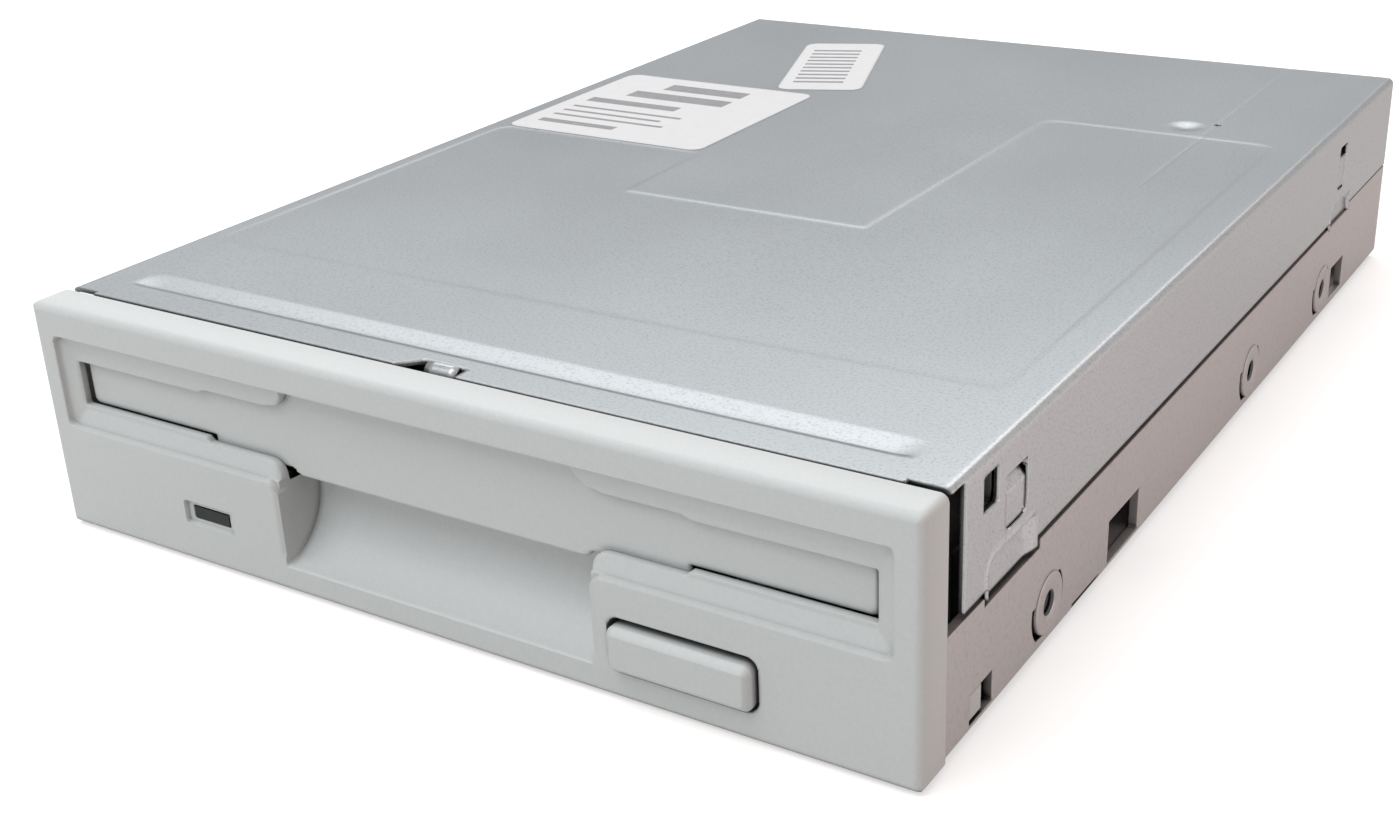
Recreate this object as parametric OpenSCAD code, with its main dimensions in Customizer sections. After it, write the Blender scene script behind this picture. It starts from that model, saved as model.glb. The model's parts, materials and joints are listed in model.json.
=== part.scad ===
// Floppy disk drive for 3.5 inch disks, an assembly of separate pieces.
// x runs to the right, y from the bezel's front face to the rear, z up from the base.
// The finished pieces are shifted along y so that the origin is under the middle of the box.

/* [Envelope] */
// Width of the bezel
drive_w = 101.6; // [101:0.1:104]
// Height from base to the top of the bezel
drive_h = 25.4; // [25.2:0.1:27]
// Length of the body behind the bezel
body_l = 140.5; // [139.5:0.1:150]
// How far the metal sides stand in from the bezel's sides
side_inset = 0.2; // [0:0.05:0.5]

/* [Sheet metal] */
// Thickness of the chassis sheet
chassis_t = 1.0; // [0.8:0.05:1.2]
// Outer bend radius of the chassis
chassis_bend = 1.2; // [1.2:0.1:1.8]
// Height of the chassis side walls
wall_h = 12.2; // [11.8:0.1:12.6]
// Thickness of the cover sheet
cover_t = 0.7; // [0.5:0.05:0.8]
// Outer bend radius of the cover
cover_bend = 1.1; // [0.9:0.1:1.6]
// Height of the lower edge of the cover's sides
flange_z = 13.3; // [13.1:0.1:14]
// Depth of the sunk panel in the cover
panel_sink = 0.4; // [0.2:0.05:0.6]
// Depth of the front bead in the cover
bead_sink = 0.5; // [0.3:0.05:0.7]
// Width of the square label
label_w = 30.4; // [28:0.1:31]
// Length of the square label
label_l = 30.2; // [28:0.1:30.6]
// Width of the strip label
strip_w = 12; // [9:0.5:13]
// Length of the strip label
strip_l = 28; // [24:0.5:29]
// Thickness of the paper labels
label_t = 0.1; // [0.05:0.05:0.3]

/* [Side holes] */
// First mounting hole, from the bezel's front face
side_hole_y = 26.2; // [25.8:0.1:27]
// Height of the mounting holes
side_hole_z = 4.5; // [4.2:0.1:5]
// Distance from the first to the second hole
side_pitch_a = 60; // [58:0.5:61]
// Distance from the first to the third hole
side_pitch_b = 90; // [89:0.5:91]
// Radius of a tapped mounting hole
side_hole_r = 1.25; // [1:0.05:1.5]
// Height of the collar behind a mounting hole
collar_h = 0.8; // [0.5:0.1:1]

/* [Bezel] */
// Thickness of the bezel from front to back
bezel_t = 4.6; // [4.4:0.1:5]
// Thickness of the bezel's outer walls
bezel_wall = 1.3; // [1:0.1:1.6]
// Corner radius of the bezel's outline
bezel_r = 0.6; // [0.3:0.1:1]
// Depth of the long recess round the slot
recess_d = 1.0; // [0.8:0.1:1.1]
// Thickness of the wall at the bottom of the recess
recess_floor = 0.9; // [0.7:0.1:0.9]
// Side margin of the recess
recess_side = 2.6; // [2.2:0.1:3]
// Lower edge of the recess
recess_low = 11.9; // [11.4:0.1:12.2]
// Upper edge of the recess
recess_high = 22.1; // [21.8:0.1:22.4]
// Lower edge of the slot
slot_low = 14.3; // [13.9:0.1:14.4]
// Upper edge of the slot
slot_high = 19.2; // [19:0.1:19.6]
// Room at each side of the disk in the slot
slot_side = 1.3; // [0.8:0.1:1.4]
// Half width of the thumb scoop
scoop_hw = 18.5; // [16:0.5:19]
// Height of the scoop's lower edge
scoop_z = 2.9; // [2.6:0.1:3.4]
// Depth of the scoop
scoop_d = 5.6; // [5.2:0.1:6]
// Height at which the scoop's back stands upright
scoop_top = 10.3; // [10:0.1:10.6]

/* [Door] */
// Thickness of the door
door_t = 1.2; // [1:0.1:1.3]
// Height of the door's lower edge
door_z = 12.3; // [12.2:0.1:13]
// Height of the door's hinge line
hinge_z = 22.0; // [21.9:0.05:22.2]
// Depth of the door's hinge line behind the bezel's face
hinge_y = 3.5; // [3.5:0.05:3.7]
// Radius of the door's hinge pins
door_pin_r = 0.8; // [0.6:0.05:0.9]

/* [Eject] */
// Width of the eject button
button_w = 14.7; // [12:0.1:15.2]
// Height of the eject button
button_h = 4.8; // [4.4:0.1:5.2]
// Middle of the button, across
button_x = 28.0; // [27.6:0.1:29]
// Middle of the button, up
button_z = 5.65; // [5.5:0.05:5.8]
// Corner radius of the button
button_r = 0.9; // [0.5:0.1:1.2]
// How far the button stands out at rest
button_proud = 1.1; // [0.6:0.1:1.6]
// Room round the button in the bezel
button_gap = 0.3; // [0.2:0.05:0.4]
// Travel of the slide plate and button
eject_travel = 5.5; // [5:0.1:5.5]
// Travel past the rest position
eject_over = 0.5; // [0.3:0.1:0.6]
// Drop of the disk holder over that travel
holder_drop = 2.75; // [2.5:0.05:2.75]

/* [Disk bay] */
// Room from the disk's edge to the drive's side
disk_room = 5.8; // [5.6:0.05:6]
// Room at each side of the disk in the holder
disk_side = 0.4; // [0.3:0.05:0.6]
// Height of the bay's floor at rest
bay_z = 14.5; // [14.4:0.05:14.6]
// Clear height of the bay
bay_h = 4.4; // [4.2:0.05:4.4]
// Thickness of the holder and slide plate sheet
plate_t = 0.6; // [0.5:0.05:0.7]
// Radius of the holder's guide pins
guide_pin_r = 0.9; // [0.7:0.05:1]
// Turn of the latch lever
latch_turn = 53; // [48:1:54]
// Room from the latch lever's pin to the head arm's slot
latch_room = 4; // [3.5:0.1:5]

/* [Spindle] */
// Distance from the spindle to the rear edge
spindle_back = 88.1; // [87:0.1:89]
// Outer radius of the rotor
rotor_r = 22; // [20:0.5:22.5]
// Radius of the spindle shaft
shaft_r = 1.5; // [1.2:0.05:2]
// Radius of the spindle hub
hub_r = 12.5; // [12:0.1:13]
// Number of stator teeth
teeth = 12; // [9:3:12]

/* [Heads] */
// Radius of the outermost track
track_out = 39.5; // [39:0.1:40]
// Head travel from the outermost to the innermost track
head_travel = 14.8; // [14:0.1:14.8]
// Height of the magnetic disk when a disk is loaded
media_z = 13.4; // [13.3:0.05:13.5]
// Tilt of the head arm at rest
arm_lift = 10.4; // [10.4:0.1:10.8]
// Radius of the guide rod
rod_r = 1.5; // [1.2:0.05:1.7]
// Place of the guide rod across the drive
rod_x = -14; // [-14.4:0.1:-13.6]
// Height of the guide rod and the lead screw
rail_z = 8.2; // [8:0.1:8.4]
// Place of the lead screw across the drive
screw_x = 16; // [15.6:0.1:16.4]
// Outer radius of the lead screw
screw_r = 1.5; // [1.3:0.05:1.6]
// Lead of the screw
screw_lead = 3.75; // [3:0.25:5]
// Radius of the stepper motor
stepper_r = 6.5; // [6:0.1:6.6]
// Length of the stepper motor
stepper_l = 13; // [11:0.5:13]

/* [Boards] */
// Height of the boards' lower faces
board_z = 2.4; // [2.2:0.1:2.6]
// Thickness of the boards
board_t = 1.2; // [1:0.1:1.3]
// Number of contacts in each row of the data connector
contacts = 17; // [13:1:18]
// Pitch of the data connector
contact_pitch = 2.54; // [2.4:0.02:2.6]
// Travel of the disk switches' plungers
plunger_travel = 1.2; // [0.8:0.1:1.4]
// Radius of the boards' screws
screw_m2 = 1.0; // [0.8:0.05:1.1]

/* [Hidden] */
$fn = 48;
eps = 0.5;

// Overall places
hw = drive_w / 2;
metal_hw = hw - side_inset;
wall_in = metal_hw - chassis_t;
flange_in = metal_hw - cover_t;
cover_z = drive_h - label_t;
ceiling_z = cover_z - cover_t;
end_y = bezel_t + body_l;
mid_y = (end_y - button_proud) / 2;
face_t = recess_d + recess_floor;
floor_z = chassis_t;
board_top = board_z + board_t;
fit = 0.05;
seat = 0.02;
side_holes = [side_hole_y, side_hole_y + side_pitch_a, side_hole_y + side_pitch_b];
collar_r = side_hole_r + 1.1;
disk_w = drive_w - 2 * disk_room;
spindle_y = end_y - spindle_back;
head_y = spindle_y + track_out;
motor_front = bezel_t + 4.9;
motor_step = motor_front + 11;

// Disk bay, guide pins and slide plate
bay_hw = disk_w / 2 + disk_side;
holder_hw = bay_hw + plate_t;
holder_y = [motor_front + 4.7, head_y + 14.5];
holder_top = bay_z + bay_h;
lip_w = 4;
guide_y = [side_hole_y + 7.8, head_y + 0.5];
guide_z = bay_z + bay_h * 0.55;
guide_gap = 0.1;
slide_gap = 1.2;
slide_in = holder_hw + slide_gap;
slide_out = slide_in + plate_t;
slide_y = [motor_step - 0.5, head_y + 10.5];
slide_z = holder_top + plate_t + 1.7;
slide_low = 12;
lug_in = slide_out + 0.6;
lug_out = lug_in + 0.8;
lug_half = 4;
lug_top = slide_z - fit;
guide_tip = lug_out - 0.2;
ramp_slope = holder_drop / eject_travel;
arm_slot_hw = 9;
arm_slot_y = head_y - 20.5;
hook_y = motor_step + 2.5;
leg_y = [hook_y + 19, hook_y + 25];
shelf_z = 4.8;
shelf_top = shelf_z + plate_t;
spring_x = bay_hw - 1.4;
spring_z = 8.6;
tail_x = [button_x - 2, button_x + 3];
tail_lip_y = leg_y[0] + 2;

// Latch lever
latch_x = -bay_hw + 6.4;
latch_y = slide_y[1];
latch_arm = -latch_x - arm_slot_hw - latch_room;
latch_rest = -58;
latch_z = holder_top + plate_t + 0.1;
latch_t = 0.7;
latch_hw = 2.2;
latch_hub_r = 4;
lever_pin_r = 1;
post_r = 1.5;
spring_post = [latch_x + 1.5, latch_y - 27];

// Risers of the chassis that carry the cover, and the cover's tongues in them
riser_y = [[side_hole_y - 14.2, side_hole_y - 2.4], [side_holes[2] + 1.1, side_holes[2] + 10.4]];
tongue_y = [[side_hole_y - 10.2, side_hole_y - 6.2], [side_holes[2] + 2.8, side_holes[2] + 7.2]];
tongue_z = [16.8, 21.6];
riser_t = 0.9;

// Spindle stack
bearing_r = 4.4;
flange_r = 7;
stator_z = board_top + 1;
stator_h = 1.4;
rotor_z = [board_top + 0.8, board_top + 5.2];
rotor_t = 0.8;
hub_z = [rotor_z[1], rotor_z[1] + 3];
magnet_w = 1.6;
chuck_r = [4, 7.5];
chuck_h = 1.2;
drive_pin_off = 10;
drive_pin_r = 1.2;
drive_pin_dip = 1.05;

// Heads, rails and stepper
arm_hinge_y = head_y + 27;
arm_hinge_z = media_z + 4.1;
arm_z = media_z + 3.5;
arm_t = 1.2;
arm_hw = 6;
arm_pin_r = 0.75;
carriage_z = 7;
carriage_top = rail_z + 3;
sleeve_hw = 4;
sleeve_y = [head_y + 4.5, head_y + 26.5];
bracket_y = [head_y - 11.5, head_y + 29.5];
bracket_t = 0.8;
rail_end_y = [head_y - 14, head_y + 32.5];
bracket_post = 2;
journal_r = screw_r - 0.6;
bearing_bush_r = screw_r + 0.4;
stub_r = screw_r - 0.1;
stepper_skin = 1.6;

// Boards
board_hw = wall_in - 1.4;
main_y = end_y - 0.6;
main_front = end_y - 41;
main_step = end_y - 15.6;
motor_back = spindle_y + 25;
motor_x = [-37, 26];
switch_y = motor_front + 6.5;
switch_hw = 3;
switch_x = disk_w / 2 - 4.5;
switch_xs = [-switch_x, -switch_x + 3 * switch_hw, switch_x];
switch_h = 5.4;
plunger_r = 1;
plunger_top = bay_z - 1.6;
led_x = -28.9;
led_z = 5.73;
main_screws = [[-board_hw + 4, main_front + 4], [-board_hw + 4, main_y - 12],
    [board_hw - 4, main_step + 4], [-16, main_step + 2.6]];
motor_points = [[-33.5, 26], [22.5, 33], [-33.5, motor_back - 4.5], [22.5, motor_back - 4]];
bracket_points = [[screw_x, bracket_y[0] + 6], [screw_x, bracket_y[1] - 8]];
standoff_r = 2.2;
data_w = contacts * contact_pitch + 7.6;
data_x = -board_hw + 0.9;
data_h = 8.8;
data_d = 9;
power_x = board_hw - 20;
power_w = 14;
capacitor_r = 2;
capacitor_h = 5;

// Points of one coil: a helix about z whose ends come back to the axis
function coil(r, turns, length, lead) = concat(
    [[0, 0, 0], [0, 0, lead / 2]],
    [for (i = [0 : 8 * turns])
        let (a = i * 45, h = lead + (length - 2 * lead) * i / (8 * turns))
        [r * cos(a), r * sin(a), h]],
    [[0, 0, length - lead / 2], [0, 0, length]]);
function unit(v) = v / max(norm(v), 0.0001);
function tangent(p, i) = unit(p[min(i + 1, len(p) - 1)] - p[max(i - 1, 0)]);
function side_of(t) = unit(cross(abs(t[2]) > 0.9 ? [1, 0, 0] : [0, 0, 1], t));
function self_gap(p, wire, skip) = min([for (i = [0 : len(p) - 1 - skip])
    for (j = [i + skip : len(p) - 1]) norm(p[i] - p[j])]) - 2 * wire;

module place() {
    translate([0, -mid_y, 0]) children();
}

module box(x, y, z) {
    translate([x[0], y[0], z[0]]) cube([x[1] - x[0], y[1] - y[0], z[1] - z[0]]);
}

module rod_along_x(r, x, y, z) {
    translate([x[0], y, z]) rotate([0, 90, 0]) cylinder(r = r, h = x[1] - x[0]);
}

module rod_along_y(r, x, y, z) {
    translate([x, y[0], z]) rotate([-90, 0, 0]) cylinder(r = r, h = y[1] - y[0]);
}

module rod_along_z(r, x, y, z) {
    translate([x, y, z[0]]) cylinder(r = r, h = z[1] - z[0]);
}

module tube_along_z(r_out, r_in, x, y, z) {
    difference() {
        rod_along_z(r_out, x, y, z);
        rod_along_z(r_in, x, y, [z[0] - eps, z[1] + eps]);
    }
}

module along_x(x) {
    translate([x[0], 0, 0]) rotate([90, 0, 90]) linear_extrude(x[1] - x[0]) children();
}

module along_y(y) {
    translate([0, y[1], 0]) rotate([90, 0, 0]) linear_extrude(y[1] - y[0]) children();
}

module slab(z) {
    translate([0, 0, z[0]]) linear_extrude(z[1] - z[0]) children();
}

module both_sides() {
    children();
    mirror([1, 0, 0]) children();
}

module round_rect(w, h, r) {
    square([w - 2 * r, h], center = true);
    square([w, h - 2 * r], center = true);
    for (sx = [-1, 1], sy = [-1, 1]) {
        translate([sx * (w / 2 - r), sy * (h / 2 - r)]) circle(r);
    }
}

module capsule(a, b, r) {
    d = b - a;
    translate(a) rotate(atan2(d[1], d[0])) translate([0, -r]) square([norm(d), 2 * r]);
    translate(a) circle(r);
    translate(b) circle(r);
}

// A closed skin over rings of points, all with the same number of sides
module skin(points, sides) {
    last = len(points) - sides;
    walls = [for (i = [0 : sides : last - 1], k = [0 : sides - 1])
        let (a = i + k, b = i + (k + 1) % sides)
        each [[a, a + sides, b], [b, a + sides, b + sides]]];
    caps = [for (k = [1 : sides - 2])
        each [[0, k, k + 1], [last, last + k + 1, last + k]]];
    polyhedron(points, concat(walls, caps));
}

// A wire along a list of points, with six sides
module wire(p, r) {
    skin([for (i = [0 : len(p) - 1])
        let (t = tangent(p, i), u = side_of(t), v = cross(t, u))
        for (a = [0 : 60 : 300])
            p[i] + r * (cos(a) * u + sin(a) * v)], 6);
}

// A bar along z with one helical groove
module grooved_bar(r, groove, length, lead) {
    rings = round(8 * length / lead);
    skin([for (i = [0 : rings])
        let (h = length * i / rings)
        for (a = [0 : 45 : 315])
            let (turn = a + 360 * h / lead, at = r - (a == 0 ? groove : 0))
            [at * cos(turn), at * sin(turn), h]], 8);
}

module screw(x, y, z, depth, r) {
    head_h = 1.2;
    rod_along_z(r, x, y, [z - depth, z]);
    difference() {
        rod_along_z(2 * r, x, y, [z, z + head_h]);
        for (turn = [0, 90]) {
            translate([x, y, z + head_h]) rotate(turn) cube([2 * r, 0.4, 1], center = true);
        }
    }
}

// Chassis: a bent pan with lugs that guide the holder and risers that carry the cover

module pan_outline() {
    difference() {
        union() {
            translate([0, wall_h / 2]) square([2 * metal_hw - 2 * chassis_bend, wall_h], center = true);
            translate([-metal_hw, chassis_bend]) square([2 * metal_hw, wall_h - chassis_bend]);
            for (s = [-1, 1]) {
                translate([s * (metal_hw - chassis_bend), chassis_bend]) circle(chassis_bend);
            }
        }
        translate([-wall_in, chassis_t]) square([2 * wall_in, wall_h]);
    }
}

module riser(y, tongue) {
    difference() {
        box([flange_in - 0.1 - riser_t, flange_in - 0.1], y, [wall_h - 3, ceiling_z - 2]);
        box([flange_in - 3, flange_in + 1], [tongue[0] - 0.5, tongue[1] + 0.5],
            [tongue_z[0] - 0.5, tongue_z[1] + 0.6]);
    }
    box([flange_in - 0.1 - riser_t, wall_in + 0.2], y, [wall_h - 6, wall_h - 1.4]);
}

module guide_lug(y) {
    slot_hw = guide_pin_r + guide_gap;
    difference() {
        box([lug_in, lug_out], [y - lug_half, y + lug_half], [floor_z - 0.2, lug_top]);
        box([lug_in - 1, lug_out + 1], [y - slot_hw, y + slot_hw],
            [guide_z - holder_drop - slot_hw, guide_z + eject_over * ramp_slope + slot_hw]);
    }
    box([lug_in, wall_in + 0.2], [y - lug_half, y + lug_half], [floor_z - 0.2, floor_z + 3]);
}

// Slit along part of the ring round a mounting hole: its width, the span along the drive and the heights
module ring_slit(y, w, along, heights) {
    slit_r = 3.1;
    intersection() {
        difference() {
            rod_along_x(slit_r + w, [wall_in - 1, metal_hw + 1], y, side_hole_z);
            rod_along_x(slit_r, [wall_in - 2, metal_hw + 2], y, side_hole_z);
        }
        box([wall_in - 1, metal_hw + 1], [y + along[0], y + along[1]],
            [side_hole_z + heights[0], side_hole_z + heights[1]]);
    }
}

module chassis() {
    clip_window = [clip_y[0] - 0.2, clip_y[1] + 2.4];
    side_window = [side_hole_y + 15, side_hole_y + 23.3];
    rear_window = [side_holes[2] + 4.4, side_holes[2] + 10.4];
    edge_slot = [side_hole_y + 6, side_hole_y + 12.9];
    color([0.72, 0.72, 0.70]) place() difference() {
        union() {
            along_y([bezel_t, end_y]) pan_outline();
            both_sides() {
                for (y = guide_y) {
                    guide_lug(y);
                }
                for (i = [0, 1]) {
                    riser(riser_y[i], tongue_y[i]);
                }
                for (y = side_holes) {
                    rod_along_x(collar_r, [wall_in - collar_h, wall_in + 0.2], y, side_hole_z);
                }
                box([spring_x - 1.2, spring_x + 1.2], [hook_y - 1, hook_y], [floor_z - 0.2, spring_z + 1]);
                box([wall_in - 0.2, metal_hw], [riser_y[1][1], end_y], [wall_h - 1, wall_h + 0.9]);
                box([metal_hw - 2.2, metal_hw - 0.5], [end_y - 1, end_y], [floor_z - 0.2, wall_h]);
            }
            for (p = main_screws) {
                rod_along_z(standoff_r, p[0], p[1], [floor_z - 0.2, board_z]);
            }
            for (p = motor_points) {
                rod_along_z(standoff_r, p[0], p[1], [floor_z - 0.2, board_z]);
            }
        }
        both_sides() {
            for (y = side_holes) {
                rod_along_x(side_hole_r, [wall_in - 2, metal_hw + 1], y, side_hole_z);
                ring_slit(y, 0.7, [-5, -1], [-2.8, 0.9]);
                ring_slit(y, 0.25, [1, 5], [-2, 2.2]);
            }
            box([wall_in - eps, metal_hw + 1], riser_y[0], [wall_h - 0.9, wall_h + 1]);
            box([wall_in - eps, metal_hw + 1], clip_window, [1.2, 4.2]);
            box([wall_in - eps, metal_hw + 1], side_window, [1.2, 5.7]);
            box([wall_in - eps, metal_hw + 1], rear_window, [1.6, 5.8]);
            box([metal_hw - 0.8, metal_hw + 1], edge_slot, [0.5, 1.2]);
            box([flange_in - 3, flange_in + 1], [flange_slot_y[0] - 0.3, flange_slot_y[1] + 0.3],
                [flange_slot_z[0] - 0.3, flange_slot_z[1] + 0.3]);
        }
        for (p = concat(main_screws, motor_points)) {
            rod_along_z(screw_m2 + seat, p[0], p[1], [-1, board_z + 1]);
        }
        for (p = bracket_points) {
            rod_along_z(screw_m2 + seat, p[0], p[1], [-1, floor_z + 1]);
        }
        for (x = [motor_x[0] + 7, motor_x[1] + 8], y = [spindle_y - 7, spindle_y + 9]) {
            slab([-1, floor_z + 1]) translate([x, y]) round_rect(9, 12, 1.5);
        }
        for (x = [-board_hw + 11.2, -board_hw + 21.7], y = [head_y + 17.5, head_y + 28.5]) {
            slab([-1, floor_z + 1]) translate([x, y]) round_rect(8, 8, 1.5);
        }
    }
}

// Cover: a bent sheet with a sunk panel, a front bead, notches and tongues

panel_left = -metal_hw + 2.6;
panel_right = metal_hw - 4.6;
panel_front = side_hole_y - 2.3;
panel_step = head_y - 21.3;
panel_back = head_y + 10.1;
tongue_room = arm_slot_hw + 6.8;
panel_points = [[panel_left, panel_front - 0.5], [panel_right + 0.2, panel_front + 0.5],
    [panel_right - 0.4, panel_back], [tongue_room + 0.2, panel_back], [tongue_room - 0.6, spindle_y + 1.1],
    [-tongue_room - 0.6, spindle_y + 1.1], [-tongue_room - 1, panel_step], [panel_left, panel_step]];
bead_y = [bezel_t + 3.8, bezel_t + 7.2];
bead_hw = metal_hw - 4.8;
cover_front = bezel_t + 0.2;
flange_front = bezel_t + 3.2;
flange_slot_y = [side_hole_y - 15, side_hole_y - 12];
flange_slot_z = [cover_z - 5, cover_z - 1.6];
rear_flange_z = 17;
strip_in = 24.7;
strip_back = 23.5;
dimple = [panel_right - 12.7, panel_back + 4.2];
notch_x = [-5.4, -4.4, 1.2, 1.6];
lip_x = [-3.1, 0.5];

// Outline of the cover across the drive, moved inward by the given amount
module cover_outline(inward) {
    w = 2 * (metal_hw - inward);
    r = cover_bend - inward;
    low = flange_z - inward;
    translate([0, cover_z - inward - r]) {
        square([w - 2 * r, 2 * r], center = true);
        for (s = [-1, 1]) {
            translate([s * (w / 2 - r), 0]) circle(r);
        }
    }
    translate([-w / 2, low]) square([w, cover_z - inward - r - low]);
}

module bead_groove(down) {
    along_x([-bead_hw, bead_hw]) polygon([[bead_y[0], cover_z + 0.2 - down],
        [bead_y[0], cover_z - bead_sink - down], [bead_y[0] + 0.7, cover_z - bead_sink - down],
        [bead_y[1], cover_z - down], [bead_y[1], cover_z + 0.2 - down]]);
}

module top_cover() {
    color([0.68, 0.69, 0.70]) place() {
        difference() {
            union() {
                difference() {
                    along_y([cover_front, end_y]) cover_outline(0);
                    along_y([cover_front - 1, end_y + 1]) cover_outline(cover_t);
                    both_sides() {
                        box([flange_in - 1, hw], [0, flange_front], [0, cover_z - cover_bend]);
                    }
                }
                slab([ceiling_z - panel_sink, ceiling_z + 0.1]) polygon(panel_points);
                intersection() {
                    bead_groove(cover_t);
                    box([-hw, hw], [0, end_y], [ceiling_z - bead_sink, ceiling_z + 0.2]);
                }
                rod_along_z(2.6, dimple[0], dimple[1], [ceiling_z - panel_sink, ceiling_z + 0.1]);
                box([-metal_hw + 2, metal_hw - 2], [end_y - cover_t, end_y], [rear_flange_z, ceiling_z + 0.1]);
            }
            slab([cover_z - panel_sink, cover_z + 1]) polygon(panel_points);
            bead_groove(0);
            rod_along_z(2.2, dimple[0], dimple[1], [cover_z - panel_sink, cover_z + 1]);
            slab([ceiling_z - 1, cover_z + 1]) polygon([[notch_x[0], cover_front - 1], [notch_x[1], cover_front + 1.9],
                [notch_x[2], cover_front + 1.9], [notch_x[3], cover_front - 1]]);
            both_sides() {
                box([metal_hw - 3.9, hw], [0, cover_front + 0.7], [ceiling_z - 1, cover_z + 1]);
                box([flange_in - 1, hw], flange_slot_y, flange_slot_z);
                for (t = tongue_y) {
                    box([flange_in - 1, hw], t, tongue_z);
                }
            }
        }
        box(lip_x, [cover_front + cover_t, cover_front + 2.2], [ceiling_z, cover_z]);
        box(lip_x, [cover_front, cover_front + cover_t], [ceiling_z - 2.4, cover_z]);
        both_sides() {
            for (t = tongue_y) {
                box([flange_in - 0.5, flange_in + 0.2], [t[0] + 0.4, t[1] - 0.4],
                    [tongue_z[0] - 0.2, tongue_z[1] - 0.4]);
            }
        }
    }
}

module label() {
    color([0.9, 0.9, 0.92]) place() slab([cover_z, cover_z + label_t])
        translate([panel_left + label_w / 2 + 0.1, panel_step + label_l / 2 + 0.3])
            round_rect(label_w, label_l, 1.5);
}

module strip_label() {
    color([0.92, 0.92, 0.93]) place() slab([cover_z, cover_z + label_t])
        translate([panel_left + strip_in, end_y - strip_back]) rotate(20) round_rect(strip_w, strip_l, 0.8);
}

// Bezel: a hollow front with a recess, a slot, a scoop, windows, hinge ears and clips

scoop_r = (pow(scoop_d, 2) + pow(scoop_top - scoop_z, 2)) / (2 * scoop_d);
button_hole = [button_w + 2 * button_gap, button_h + 2 * button_gap];
led_window = [5, 1.4];
led_recess = [6.4, 2.2];
led_recess_d = 0.45;
door_hw = disk_w / 2 + 1.8;
ear_in = door_hw + 0.2;
ear_out = ear_in + 1.2;
clip_y = [bezel_t + 5, bezel_t + 7];

module slot_shape() {
    half = disk_w / 2 + slot_side;
    polygon([[half, slot_low], [half, slot_high], [28.4, slot_high], [28.4, slot_high + 0.35],
        [19.7, slot_high + 0.35], [17, recess_high], [0, recess_high], [0, scoop_top],
        [scoop_hw, scoop_top], [scoop_hw, slot_low - 0.6], [28.4, slot_low - 0.6], [28.4, slot_low]]);
}

module bezel() {
    color([0.75, 0.76, 0.76]) place() difference() {
        union() {
            difference() {
                along_y([0, bezel_t]) translate([0, drive_h / 2]) round_rect(drive_w, drive_h, bezel_r);
                box([-hw + bezel_wall, hw - bezel_wall], [face_t, bezel_t + 1],
                    [bezel_wall, drive_h - bezel_wall]);
            }
            box([-scoop_hw - 1.2, scoop_hw + 1.2], [face_t - 0.2, scoop_d + 1.2],
                [floor_z + 0.5, scoop_top + 1.3]);
            along_y([face_t - 0.2, bezel_t]) translate([button_x, button_z])
                square(button_hole + [2, 2], center = true);
            along_y([face_t - 0.2, bezel_t - 0.6]) translate([led_x, led_z])
                square(led_window + [2, 2], center = true);
            both_sides() {
                box([ear_in, ear_out], [face_t - 0.2, hinge_y + 1.6], [hinge_z - 1.8, hinge_z + 1.6]);
                box([wall_in - 1.3, wall_in - 0.1], [face_t - 0.2, clip_y[1] + 1], [1.5, 4]);
                box([wall_in - 0.2, metal_hw - 0.2], clip_y, [1.7, 3.8]);
            }
        }
        along_y([-1, recess_d]) translate([0, (recess_low + recess_high) / 2])
            round_rect(drive_w - 2 * recess_side, recess_high - recess_low, 1);
        along_y([-1, face_t + 0.1]) slot_shape();
        mirror([1, 0, 0]) along_y([-1, face_t + 0.1]) slot_shape();
        rod_along_x(scoop_r, [-scoop_hw, scoop_hw], scoop_d - scoop_r, scoop_top);
        box([-scoop_hw, scoop_hw], [-1, scoop_d], [scoop_top, slot_low]);
        along_y([-1, bezel_t + 1]) translate([button_x, button_z])
            round_rect(button_hole[0], button_hole[1], button_r + button_gap);
        along_y([-1, led_recess_d]) translate([led_x, led_z]) round_rect(led_recess[0], led_recess[1], 0.4);
        along_y([-1, bezel_t + 1]) translate([led_x, led_z]) square(led_window, center = true);
        both_sides() {
            rod_along_x(door_pin_r + fit, [ear_in - 1, ear_out + 0.4], hinge_y, hinge_z);
        }
    }
}

module led_lens() {
    color([0.18, 0.2, 0.2]) place() along_y([led_recess_d, bezel_t - 0.4]) translate([led_x, led_z])
        square(led_window - [0.1, 0.1], center = true);
}

module led_lamp() {
    color([0.6, 0.75, 0.55]) place() {
        box([led_x - 1.6, led_x + 1.6], [bezel_t - 0.3, motor_front + 1], [led_z - 1, led_z + 1]);
        for (s = [-1, 1]) {
            box([led_x + s - 0.25, led_x + s + 0.25], [motor_front + 0.3, motor_front + 0.8],
                [board_top, led_z - 1]);
        }
    }
}

module slot_door() {
    lug_x = [door_hw - 3, door_hw];
    door_y = [face_t + 0.1, face_t + 0.1 + door_t];
    color([0.74, 0.75, 0.75]) place() {
        box([-door_hw, door_hw], door_y, [door_z, hinge_z + 0.6]);
        both_sides() {
            box(lug_x, [door_y[0] + 0.4, hinge_y + 0.8], [hinge_z - 0.8, hinge_z + 0.6]);
        }
        rod_along_x(door_pin_r, [door_hw - 1, ear_out - 0.1], hinge_y, hinge_z);
        rod_along_x(door_pin_r, [-ear_out - 1.1, -door_hw + 1], hinge_y, hinge_z);
    }
}

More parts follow.
